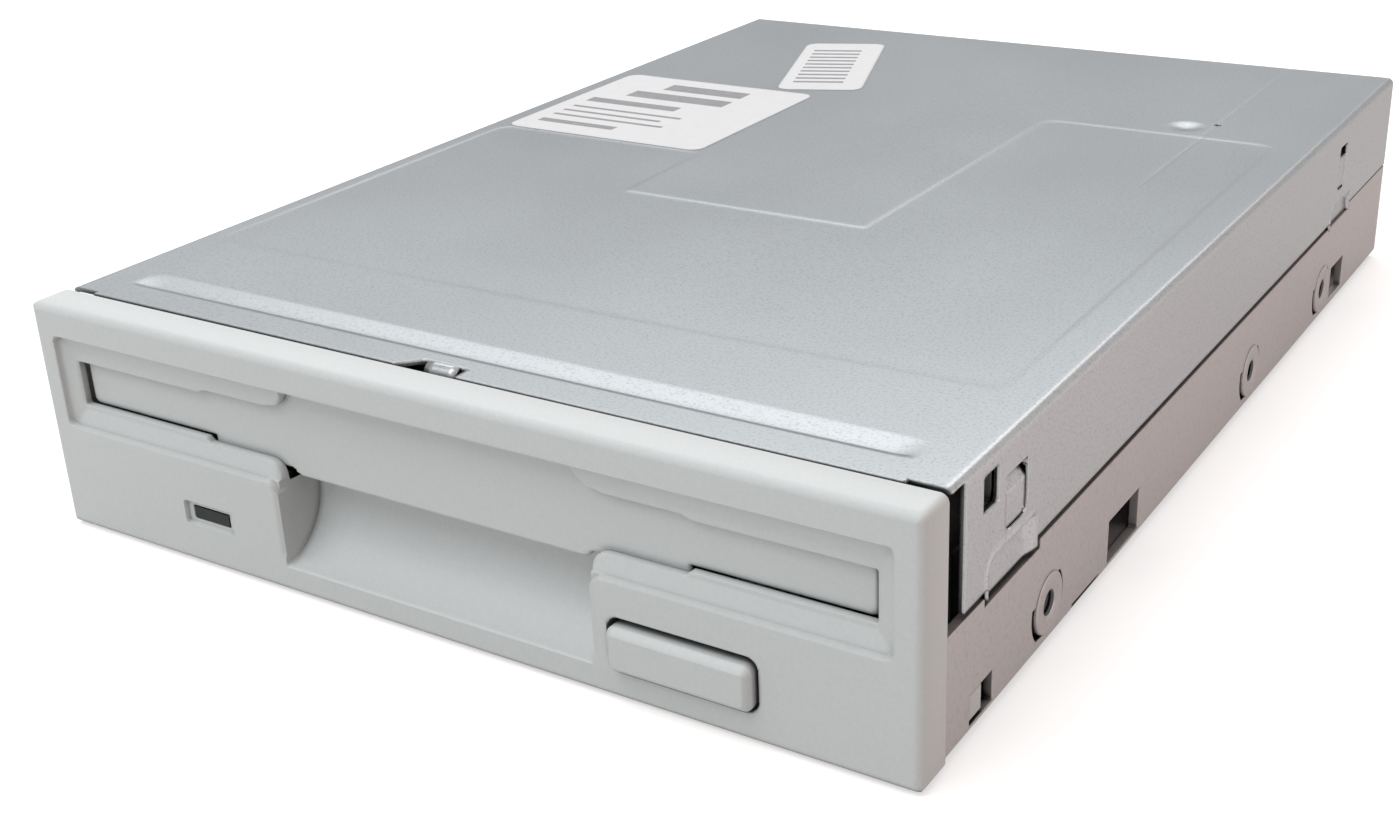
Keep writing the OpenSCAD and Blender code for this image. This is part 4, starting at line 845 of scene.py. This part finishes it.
@dataclass
class Flap(Part):
    """The door behind the slot: a sheet with a rounded edge and a lower middle."""

    name = "slot_flap"
    slot = "bezel_plastic"
    body = "door"
    nodes = ("slot_door",)
    sheet = 0.8
    half_w: float = 45.9
    top: float = 22.6
    low: float = 14.3
    low_r: float = 0.6
    step_x: float = 28.2
    step_low: float = 13.0
    step_r: float = 0.4
    middle_x: float = 18.1
    middle_low: float = 12.3
    middle_r: float = 1.4
    front: float = 2.0
    edge_r: float = 0.3

    def outside(self, x: Array, z: Array) -> Array:
        """Signed distance to all that lies outside the flap's outline.

        Args:
            x: Places across.
            z: Heights.

        Returns:
            The distances, positive on the flap.
        """
        parts = ((self.half_w, self.low, self.low_r), (self.step_x, self.step_low, self.step_r),
                 (self.middle_x, self.middle_low, self.middle_r))
        return -np.min([box_distance(x, z, (-half, half), (low, self.top), r) for half, low, r in parts], 0)

    def patches(self) -> list[Patch]:
        """Builds the flap's face and its two lugs.

        Returns:
            The sheets.
        """
        x_marks = both_sides([self.middle_x, self.middle_x - self.middle_r, self.step_x, self.half_w])
        z_marks = [self.low, self.step_low, self.middle_low + self.edge_r]
        x, z = np.meshgrid(graded_lines(-self.half_w, self.half_w, x_marks, 0.12, 2.5),
                           graded_lines(self.middle_low, self.top, z_marks, 0.1, 0.8))
        x, z, keep = trim(x, z, self.outside)
        depth = self.front + round_edge(self.outside(x, z), self.edge_r)
        lugs = [block_along_y((side * 43.8, 21.9), (3.0, 1.4), (2.6, 4.3), 0.2, 0.1, 0.1) for side in SIDES]
        return [Patch.grid(to_row(x, depth, z), keep), *lugs]


@dataclass
class EjectButton(Part):
    """The eject button: a block with soft front edges and a flat tail behind it."""

    name = "button_cap"
    slot = "bezel_plastic"
    body = "slider"
    nodes = ("eject_button",)
    sharp = 60.0
    centre: Pair = (28.0, 5.52)
    size: Pair = (14.7, 4.5)
    y: Pair = (-1.1, 8.4)
    tail: Pair = (28.5, 6.4)

    def patches(self) -> list[Patch]:
        """Builds the cap, the tail and its foot.

        Returns:
            The blocks.
        """
        return [block_along_y(self.centre, self.size, self.y, 0.9, 0.7, 0.2, 1.3),
                block_along_y(self.tail, (5.0, 2.0), (8.2, 43.9), 0.2, 0.2, 0.1),
                block_along_y(self.tail, (7.0, 2.0), (44.7, 47.0), 0.2, 0.1, 0.1)]


@dataclass
class CoverSheet(Part):
    """The pressed cover: a bent sheet, sunk by a function of the place round the bend and along the drive.

    A tongue is its front, back, low and high limits, and its free side is the one that a slit runs along.
    The joggles are strips of the low edge that are pressed in, each with a top and a fading rear end.
    """

    name = "cover_sheet"
    slot = "cover_steel"
    nodes = ("top_cover",)
    sharp = 40.0
    sheet = 0.5
    half_top: float = 49.8
    bend: float = 0.8
    top_z: float = 25.3
    low_z: float = 11.85
    flange_z: float = 12.9
    strip_z: float = 13.3
    rear_z: float = 17.0
    front: float = 4.8
    back: float = 145.05
    corner_x: float = 46.7
    corner_y: float = 5.5
    flange_x: float = 50.7
    flange_y: float = 7.8
    window_y: Pair = (11.2, 14.2)
    window_z: Pair = (20.3, 23.7)
    notch: tuple[Pair, ...] = ((-6.1, 4.6), (-3.9, 6.9), (1.45, 6.9), (1.45, 4.6))
    tab_x: Pair = (-3.1, 0.5)
    tab_r: float = 1.0
    tab_z: float = 22.4
    panel: tuple[Pair, ...] = ((-46.0, 25.4), (44.2, 26.4), (43.6, 104.6), (18.0, 104.6),
                               (17.2, 56.1), (-18.4, 56.1), (-18.8, 73.2), (-46.0, 73.2))
    panel_r: float = 2.0
    panel_wall: float = 0.6
    panel_sink: float = 0.06
    panel_fade: Pair = (26.0, 20.0)
    panel_s: tuple[float, ...] = (-48.0, -16.6, 15.4, 46.0)
    panel_y: tuple[float, ...] = (23.9, 58.1, 75.2, 106.6)
    bead_y: Pair = (8.8, 12.3)
    bead_x: float = 45.8
    bead_sink: float = 0.26
    bead_ramps: Triple = (0.5, 3.0, 2.6)
    dimple: Pair = (33.3, 110.8)
    dimple_r: float = 2.7
    dimple_sink: float = 0.36
    dot: Pair = (36.6, 113.0)
    dot_r: float = 0.5
    crease_y: float = 84.0
    crease_w: float = 0.25
    crease_sink: float = 0.035
    wave_sink: float = 0.05
    tongues: tuple[Quad, ...] = ((15.8, 20.0, 16.8, 21.8), (119.4, 122.6, 16.8, 22.1))
    free_sides: tuple[int, ...] = (1, -1)
    tongue_r: float = 1.0
    tongue_bend: float = 1.7
    slit: float = 0.24
    rear_gap: float = 1.3
    joggles: tuple[Pair, ...] = ((12.4, 23.0), (117.3, 126.6))
    joggle_tops: tuple[float, ...] = (15.3, 14.8)
    joggle_fades: tuple[float, ...] = (2.6, 0.2)
    joggle_sink: float = 0.4
    ridge: float = 0.13

    def arm(self, z: float | Array) -> float | Array:
        """Distance from the middle, round the bend, to a height on a flange."""
        return self.half_top + QUARTER * self.bend + (self.top_z - self.bend - z)

    def place(self, s: Array) -> tuple[Array, Array, Array, Array]:
        """Where a distance round the bend lies.

        The top is straight, the bend is (sin a, cos a) times its radius, and the flange is straight down.

        Args:
            s: Signed distance from the middle.

        Returns:
            The place across, the height, and the outward direction's two parts.
        """
        side, d = np.sign(s), np.abs(s)
        a = np.clip((d - self.half_top) / self.bend, 0, QUARTER)
        down = np.maximum(d - self.half_top - QUARTER * self.bend, 0)
        x = side * (np.minimum(d, self.half_top) + self.bend * np.sin(a))
        z = self.top_z - self.bend * (1 - np.cos(a)) - down
        return x, z, side * np.sin(a), np.cos(a)

    def holes(self, s: Array, y: Array) -> Array:
        """Signed distance to all that is cut away.

        That is the front corners, the notch, the dot, the windows, the slits round the tongues and what lies
        below the low edge, apart from the joggled strips.

        Args:
            s: Distance round the bend.
            y: Place along the drive.

        Returns:
            The distances.
        """
        d, arm, far = np.abs(s), self.arm, 200
        end = arm(self.low_z) + 2
        window = arm(self.window_z[1]), arm(self.window_z[0])
        cuts = [box_distance(d, y, (self.corner_x, end), (0, self.corner_y)),
                box_distance(d, y, (self.flange_x, end), (0, self.flange_y), 0.3),
                polygon_distance(s, y, self.notch),
                np.hypot(s - self.dot[0], y - self.dot[1]) - self.dot_r,
                box_distance(d, y, window, self.window_y, 0.3),
                box_distance(d, y, (arm(self.strip_z), end), (self.joggles[1][1], far))]
        for (y0, y1, low, high), free in zip(self.tongues, self.free_sides):
            half, past = (y1 - y0) / 2, 5
            across = free * (y - (y0 + y1) / 2)
            outer = box_distance(d, across, (arm(high), arm(low - self.slit)), (-half, half + self.slit),
                                 self.tongue_r + self.slit)
            inner = box_distance(d, across, (arm(high + past), arm(low)), (-half - past, half), self.tongue_r)
            cuts.append(np.maximum(outer, -inner))
        y0, y1, _, high = self.tongues[1]
        cuts.append(box_distance(d, y, (arm(high), arm(high - self.rear_gap)), (y0 - self.slit, y1)))
        low_edge = box_distance(d, y, (arm(self.flange_z), end), (0, far))
        for span in self.joggles:
            low_edge = np.maximum(low_edge, -box_distance(d, y, (0, end + 5), span, 0.4))
        return np.min([*cuts, low_edge], 0)

    def sink(self, s: Array, y: Array) -> Array:
        """How far the sheet is pressed in.

        It adds the panel eased in over its wall, the bead with a steep front and a long back, a round
        dimple, a faint crease and a slow wave of the sheet, and on the flanges what is pressed there.

        Args:
            s: Distance round the bend.
            y: Place along the drive.

        Returns:
            The depths.
        """
        panel = ease(0.5 - (polygon_distance(s, y, self.panel) - self.panel_r) / self.panel_wall)
        start, length = self.panel_fade
        panel = self.panel_sink * panel * (0.3 + 0.7 * ease((y - start) / length))
        front, back, end = self.bead_ramps
        rise = np.minimum(ease((y - self.bead_y[0]) / front), np.clip((self.bead_y[1] - y) / back, 0, 1))
        bead = self.bead_sink * rise * ease((self.bead_x - np.abs(s)) / end)
        far = np.hypot(s - self.dimple[0], y - self.dimple[1])
        dimple = self.dimple_sink * ease(1 - far / self.dimple_r)
        crease = np.exp(-((s - self.dot[0]) / self.crease_w) ** 2) * ease((y - self.crease_y) / 3)
        wave = ease((self.half_top - np.abs(s)) / 6) * np.sin(s / 17 + 0.6) * np.sin(y / 24 + 0.4)
        flange = np.abs(s) > self.half_top + self.bend
        slow = self.crease_sink * crease + self.wave_sink * wave
        return panel + bead + dimple + slow + np.where(flange, self._pressed(s, y), 0)

    def _pressed(self, s: Array, y: Array) -> Array:
        """How far the flanges' joggles and tongues are pressed in.

        A joggle is eased in over its outline, with a ridge exp(-(d / w)^2) along it. A tongue leans in from a
        bend near its top.

        Args:
            s: Distance round the bend.
            y: Place along the drive.

        Returns:
            The depths.
        """
        z = self.place(s)[1]
        pressed = np.zeros_like(s)
        for (y0, y1), high, fade in zip(self.joggles, self.joggle_tops, self.joggle_fades):
            outline = box_distance(y, z, (y0 + 0.3, y1 - 0.2), (0, high), 1.2)
            deep = self.joggle_sink + 0.15 * np.clip((z - self.low_z) / (high - self.low_z), 0, 1)
            ridge = self.ridge * np.exp(-((outline - 0.4) / 0.26) ** 2)
            step = deep * ease(0.5 - outline / 0.34) - ridge
            pressed = np.where(outline < 1.2, step * ease((y1 - y) / fade), pressed)
        for (y0, y1, low, high), free in zip(self.tongues, self.free_sides):
            within = (y > y0 - 0.02) & (y < y1 + 0.02) & (z > low - 0.05) & (z < high + 0.02)
            side = ease((y - y0 if free > 0 else y1 - y) / 0.25)
            lean = 0.12 + 1.0 * np.clip((z - high + self.tongue_bend) / self.tongue_bend, 0, 1)
            pressed = np.where(within, np.maximum(pressed, lean * side), pressed)
        return pressed

    def patches(self) -> list[Patch]:
        """Builds the sheet, its rear flange and its rolled tab.

        Returns:
            The sheets.
        """
        s, y = np.meshgrid(self._s_lines(), self._y_lines())
        s, y, keep = trim(s, y, self.holes)
        x, z, nx, nz = self.place(s)
        sink = self.sink(s, y)
        return [Patch.grid(to_row(x - nx * sink, y, z - nz * sink), keep), self._rear(), self._tab()]

    def _turn(self) -> Array:
        """Places of grid lines round a tongue's corner, from its slit inwards."""
        return np.arange(-self.slit, self.tongue_r + 0.1, self.slit / 2)

    def _rings(self, axis: int) -> list[float]:
        """Places of grid lines over the dimple and the dot.

        Args:
            axis: 0 for lines across the drive, 1 along it.

        Returns:
            The places.
        """
        middle, reach = self.dimple[axis], self.dimple_r
        dot = self.dot[axis] + np.linspace(-self.dot_r - 0.1, self.dot_r + 0.1, 9)
        return [*np.linspace(middle - reach, middle + reach, 13), *dot]

    def _s_lines(self) -> Array:
        """Sets the grid lines round the bend close together where the sheet turns or is cut.

        Returns:
            The lines.
        """
        arm, end = self.arm, self.arm(self.low_z)
        marks = [self.half_top, self.flange_x, self.half_top + 1.26, self.corner_x, self.bead_x]
        marks += [arm(z) for z in (*self.window_z, self.strip_z, self.flange_z)]
        marks += [arm(high + up) for high in self.joggle_tops for up in np.arange(-0.2, 0.9, 0.2)]
        for _, _, low, high in self.tongues:
            marks += [*arm(low + self._turn()), arm(high - self.tongue_bend), arm(high), arm(high + 0.1),
                      arm(high - self.rear_gap)]
        slant = np.arange(self.notch[0][0] + 0.1, self.notch[1][0] + 0.1, 0.19)
        marks = [*both_sides(marks), *self.panel_s, *slant, self.notch[2][0], *self._rings(0)]
        return graded_lines(-end, end, marks, 0.16, 3.5, 0.5)

    def _y_lines(self) -> Array:
        """Sets the grid lines along the drive close together where the sheet turns or is cut.

        Returns:
            The lines.
        """
        slant = np.arange(self.front + 0.1, self.notch[1][1], 0.19)
        marks = [self.corner_y, self.notch[1][1], self.flange_y, *self.bead_y, self.bead_y[0] + 0.3,
                 *self.window_y, *self.panel_y, *slant, *self._rings(1)]
        for (y0, y1, _, _), free in zip(self.tongues, self.free_sides):
            held, loose = (y0, y1) if free > 0 else (y1, y0)
            marks += [held, held + free * 0.25, *(loose - free * self._turn())]
        for y0, y1 in self.joggles:
            marks += [y0, y1, y1 - 0.2, *np.arange(y0 - 0.4, y0 + 1.7, 0.3)]
        return graded_lines(self.front, self.back, marks, 0.19, 3.5, 0.55)

    def _rear(self) -> Patch:
        """Builds the rear flange, straight across and straight down.

        Returns:
            The flange.
        """
        half = 48.4
        x, z = np.meshgrid(np.linspace(-half, half, 40), np.linspace(self.top_z - 0.05, self.rear_z, 8))
        return Patch.grid(to_row(x, np.full_like(x, self.back - 0.02), z))

    def _tab(self) -> Patch:
        """Rolls the notch's tab down: y = back - r sin a, z = top - r (1 - cos a), then straight down.

        Returns:
            The tab.
        """
        r, back = self.tab_r, self.notch[1][1]
        a = np.linspace(0, QUARTER, 10)
        y = np.concatenate([[back + 0.4], back - r * np.sin(a), [back - r]])
        z = np.concatenate([[self.top_z], self.top_z - r * (1 - np.cos(a)), [self.tab_z]]) - 0.02
        x = np.linspace(*self.tab_x, 5)
        return Patch.grid(to_row(x[None], y[:, None], z[:, None]), flip=True)


@dataclass
class HoleRings(Part):
    """Something round every side hole, turned about the hole's axis."""

    nodes = ()
    y: Triple = (26.2, 86.2, 116.2)
    z: float = 4.5
    hole_r: float = 1.25
    face: float = 50.6
    lift: float = 0.14
    lead_in: float = 0.15

    def profile(self) -> tuple[Array, Array]:
        """Radii, and distances from the middle plane, along what is turned."""
        raise NotImplementedError

    def patches(self) -> list[Patch]:
        """Turns the profile about every hole.

        Returns:
            One patch for each hole.
        """
        r, x = (values[:, None] for values in self.profile())
        turn = np.linspace(0, 2 * math.pi, 48, endpoint=False)
        return [Patch.grid(to_row(side * x, y + r * np.cos(turn), self.z + r * np.sin(turn)), flip=side > 0,
                           close_columns=True) for side in SIDES for y in self.y]


@dataclass
class HoleDiscs(HoleRings):
    """The raised discs round the side holes."""

    name = "hole_discs"
    slot = "zinc_steel"
    disc_r: float = 3.05
    edge_r: float = 0.25

    def profile(self) -> tuple[Array, Array]:
        """Runs from the wall over a low round edge to the hole.

        Returns:
            Radii, and distances from the middle plane.
        """
        a = np.linspace(0, QUARTER, 5)
        top = self.face + self.lift
        edge = self.disc_r - self.edge_r * (1 - np.cos(a))
        r = np.array([self.disc_r, *edge, self.hole_r + 0.25, self.hole_r])
        return r, np.array([self.face - 0.3, *(self.face + self.lift * np.sin(a)), top, top - self.lead_in])


@dataclass
class HoleThreads(HoleRings):
    """The threads in the side holes."""

    name = "hole_threads"
    # The threads' dark steel is painted shade: it stands in for the shade deep in the holes.
    slot = "dark_steel"
    length: float = 2.3
    pitch: float = 0.5
    ridge: float = 0.07

    def profile(self) -> tuple[Array, Array]:
        """Runs in along ridges r = hole - ridge + ridge cos(2 pi depth / pitch).

        Returns:
            Radii, and distances from the middle plane.
        """
        depth = np.linspace(self.lead_in, self.length, 44)
        wave = np.cos(2 * math.pi * (depth - self.lead_in) / self.pitch)
        return self.hole_r - self.ridge + self.ridge * wave, self.face + self.lift - depth


@dataclass
class ChassisPan(Part):
    """The chassis: a copy of its solid with the flat faces joined again and the edges broken."""

    name = "chassis_pan"
    slot = "zinc_steel"
    nodes = ("chassis",)
    sharp = 35.0
    edge_w: float = 0.13

    def mesh(self) -> bpy.types.Mesh:
        """Copies the solid and joins its flat faces.

        Returns:
            The mesh.
        """
        mesh = bpy.data.objects[self.nodes[0]].data.copy()
        mesh.name = self.name
        work = bmesh.new()
        work.from_mesh(mesh)
        bmesh.ops.remove_doubles(work, verts=work.verts, dist=WELD)
        bmesh.ops.dissolve_limit(work, angle_limit=math.radians(1), verts=work.verts, edges=work.edges)
        work.to_mesh(mesh)
        work.free()
        return mesh

    def build(self, wardrobe: Wardrobe) -> bpy.types.Object:
        """Adds the piece and breaks its edges.

        Args:
            wardrobe: The materials.

        Returns:
            The piece.
        """
        piece = super().build(wardrobe)
        bevel = piece.modifiers.new("broken_edges", "BEVEL")
        bevel.width = self.edge_w * MM
        bevel.segments = 3
        bevel.limit_method = "ANGLE"
        bevel.angle_limit = math.radians(self.sharp)
        bevel.use_clamp_overlap = False
        bevel.harden_normals = True
        return piece


@dataclass
class LabelSheet(Part):
    """A paper label laid on the cover, with plain grey bars printed on it.

    A bar is its limits across and along the label, as shares of the label's size.
    """

    slot = "paper"
    sheet = 0.06
    name: str
    nodes: tuple[str, ...]
    centre: Pair
    size: Pair
    turn: float
    bars: tuple[Quad, ...]
    cover: CoverSheet
    corner_r: float = 1.8
    lift: float = 0.045

    def patches(self) -> list[Patch]:
        """Lays a flat grid on the cover's surface, with grid lines at the edges of the bars.

        A place (u, v) on the label goes to centre + turn * ((u - 1/2) w, (v - 1/2) l).

        Returns:
            The plain faces and the bars.
        """
        u, v = np.meshgrid(*(self._lines(axis) for axis in (0, 1)))
        mid_u, mid_v = cell_means(u), cell_means(v)
        printed = np.any([(mid_u > u0) & (mid_u < u1) & (mid_v > v0) & (mid_v < v1)
                          for u0, u1, v0, v1 in self.bars], 0)
        w, l = self.size
        a, b = round_corners((u - 0.5) * w, (v - 0.5) * l, (w / 2, l / 2), self.corner_r)
        c, s = math.cos(self.turn), math.sin(self.turn)
        x, y = self.centre[0] + c * a - s * b, self.centre[1] + s * a + c * b
        points = to_row(x, y, self.cover.top_z - self.cover.sink(x, y) + self.lift)
        return [Patch.grid(points, ~printed), Patch.grid(points, printed)]

    def build(self, wardrobe: Wardrobe) -> bpy.types.Object:
        """Adds the label and inks the bars, which come after the plain faces.

        Args:
            wardrobe: The materials.

        Returns:
            The piece.
        """
        piece = super().build(wardrobe)
        piece.data.materials.append(wardrobe.materials["grey_ink"])
        plain = len(self.patches()[0].quads)
        index = (np.arange(len(piece.data.polygons)) >= plain).astype(np.int32)
        piece.data.polygons.foreach_set("material_index", index)
        return piece

    def _lines(self, axis: int) -> Array:
        """Grid lines at the edges of the bars and over the corners.

        Args:
            axis: 0 for lines across the label, 1 along it.

        Returns:
            The lines, as shares of the label's size.
        """
        edges = np.array(self.bars)[:, 2 * axis:2 * axis + 2].ravel()
        corner = self.corner_r / self.size[axis] * np.linspace(0, 1, 5)
        return np.unique(np.concatenate([edges, np.linspace(0, 1, 9), corner, 1 - corner]).round(5))


class Studio:
    """The floor, the light and the camera of the picture.

    The camera was solved from the picture: its focal length and middle are pixels of the image, and the rows
    of its turn are its right, down and ahead.
    """

    focal_px: float = 1807.34
    centre_px: Pair = (712.99, 403.95)
    image: tuple[int, int] = (1399, 817)
    eye: Triple = (103.026, -108.442, 88.652)
    rows: tuple[Triple, ...] = (
        (0.84652, 0.53096, -0.03852), (0.18684, -0.36408, -0.91243), (-0.49849, 0.76520, -0.40741))
    floor_half: float = 3.0
    floor_z: float = -0.0002

    def build(self) -> None:
        """Builds floor, world, lamps and camera."""
        self._floor()
        self._world()
        self._lamp("key", (-0.2, -0.42, 0.88), 6.3, (0.8, 0.8))
        self._lamp("fill", (-0.12, -0.98, 0.22), 1.0, (0.9, 0.4))
        self._lamp("back", (-0.4, 0.77, 0.78), 6.4, (1.3, 0.42))
        self._lamp("side", (0.95, 0.1, 0.35), 2.1, (0.5, 0.5), (1.0, 0.72, 0.66))
        self._camera()

    def _floor(self) -> None:
        """A wide pale floor just under the base, white to the camera where nothing shades it.

        Its glow rises from half a metre to two metres away, where the lamps don't reach.
        """
        u = np.linspace(-self.floor_half, self.floor_half, 3)
        x, y = np.meshgrid(u, u)
        patch = Patch.grid(np.stack([x, y, np.full_like(x, self.floor_z)], -1))
        mesh = bpy.data.meshes.new("floor")
        mesh.from_pydata(patch.points.tolist(), [], patch.quads.tolist())
        floor = bpy.data.objects.new("floor", mesh)
        bpy.context.scene.collection.objects.link(floor)
        material = bpy.data.materials.new("pale_floor")
        material.use_nodes = True
        graph = Graph(material.node_tree)
        away = graph.add("VectorMath", "Value", {0: graph.add("NewGeometry", "Position")}, operation="LENGTH")
        glow = self._seen(graph, graph.spread(away, (0.5, 2.0), 0.55, 0.8), 0.0)
        graph.feed(material.node_tree.nodes["Principled BSDF"], {
            "Base Color": (0.6, 0.585, 0.58, 1), "Roughness": 0.9, "Emission Color": (1.0, 0.995, 0.99, 1),
            "Emission Strength": glow})
        mesh.materials.append(material)

    def _seen(self, graph: Graph, seen: Socket | float, other: float) -> Socket:
        """A strength for rays from the camera and mirrored rays, and another for the rest.

        Args:
            graph: The nodes.
            seen: Strength for camera, glossy and transmission rays.
            other: Strength for other rays.

        Returns:
            The strength.
        """
        total = graph.add("LightPath", "Is Camera Ray")
        for name in ("Is Glossy Ray", "Is Transmission Ray"):
            total = graph.calculate("MAXIMUM", total, graph.add("LightPath", name))
        return graph.spread(total, low=other, high=seen)

    def _world(self) -> None:
        """An even white surround, weaker as light than as seen."""
        world = bpy.data.worlds.new("surround")
        bpy.context.scene.world = world
        world.use_nodes = True
        graph = Graph(world.node_tree)
        graph.feed(world.node_tree.nodes["Background"],
                   {"Color": (1, 1, 1, 1), "Strength": self._seen(graph, 1.0, 0.4)})

    def _lamp(self, name: str, at: Triple, power: float, size: Pair, colour: Triple = EVEN) -> None:
        """Adds a soft lamp that looks at the drive.

        Args:
            name: The lamp's name.
            at: Its place in row metres.
            power: Its power in watts.
            size: Its width and height in metres.
            colour: Its colour.
        """
        light = bpy.data.lights.new(name, "AREA")
        light.color = colour
        light.energy = power
        light.shape = "RECTANGLE"
        light.size, light.size_y = size
        lamp = bpy.data.objects.new(name, light)
        lamp.location = at
        lamp.rotation_euler = (Vector((0, 0, 0.01)) - Vector(at)).to_track_quat("-Z", "Y").to_euler()
        bpy.context.scene.collection.objects.link(lamp)

    def _camera(self) -> None:
        """Sets the camera."""
        width, height = self.image
        data = bpy.data.cameras.new("camera")
        data.sensor_width = 36.0
        data.lens = self.focal_px / width * data.sensor_width
        data.shift_x = (width / 2 - self.centre_px[0]) / width
        data.shift_y = (self.centre_px[1] - height / 2) / width
        data.clip_start = 0.01
        camera = bpy.data.objects.new("camera", data)
        right, down, ahead = (Vector(row) for row in self.rows)
        turn = Matrix((right, -down, -ahead)).transposed().to_4x4()
        eye = Vector((self.eye[0], self.eye[1] - MID_Y, self.eye[2])) * MM
        camera.matrix_world = Matrix.Translation(eye) @ turn
        bpy.context.scene.collection.objects.link(camera)
        bpy.context.scene.camera = camera


@dataclass
class Drive:
    """The whole drive: new outer pieces, and the solids that keep their own shape."""

    frame: dict
    wardrobe: Wardrobe = field(default_factory=Wardrobe)
    square_bars: tuple[Quad, ...] = (
        (0.30, 0.72, 0.80, 0.90), (0.20, 0.72, 0.64, 0.74), (0.08, 0.56, 0.49, 0.56),
        (0.08, 0.66, 0.385, 0.41), (0.08, 0.60, 0.31, 0.335), (0.08, 0.66, 0.235, 0.26),
        (0.08, 0.48, 0.12, 0.17))
    strip_bars: tuple[Quad, ...] = tuple((0.14, 0.74, v, v + 0.032) for v in np.arange(0.14, 0.84, 0.075))

    def build(self) -> None:
        """Builds the outer pieces and dresses everything."""
        cover = CoverSheet()
        square = LabelSheet("square_label", ("label",), (-32.7, 90.6), (30.4, 30.2), 0.0,
                            self.square_bars, cover)
        strip = LabelSheet("long_label", ("strip_label",), (-23.3, 121.6), (12.0, 28.0), math.radians(20),
                           self.strip_bars, cover)
        for part in (Bezel(), Flap(), EjectButton(), cover, square, strip, HoleDiscs(), HoleThreads(),
                     ChassisPan()):
            part.build(self.wardrobe)
        slots = {p["node"]: p["material_slot"] for p in self.frame["record"]["subparts"]}
        for name, node in self.frame["nodes"].items():
            self.wardrobe.dress(node, slots[name])
            LOG.info("%s: %s", name, slots[name])


def main() -> None:
    """Loads the solids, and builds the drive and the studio."""
    logging.basicConfig(level=logging.INFO, format="%(name)s: %(message)s")
    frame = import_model()
    Drive(frame).build()
    Studio().build()
    bpy.context.scene.view_settings.view_transform = "Standard"


if __name__ == "__main__":
    main()
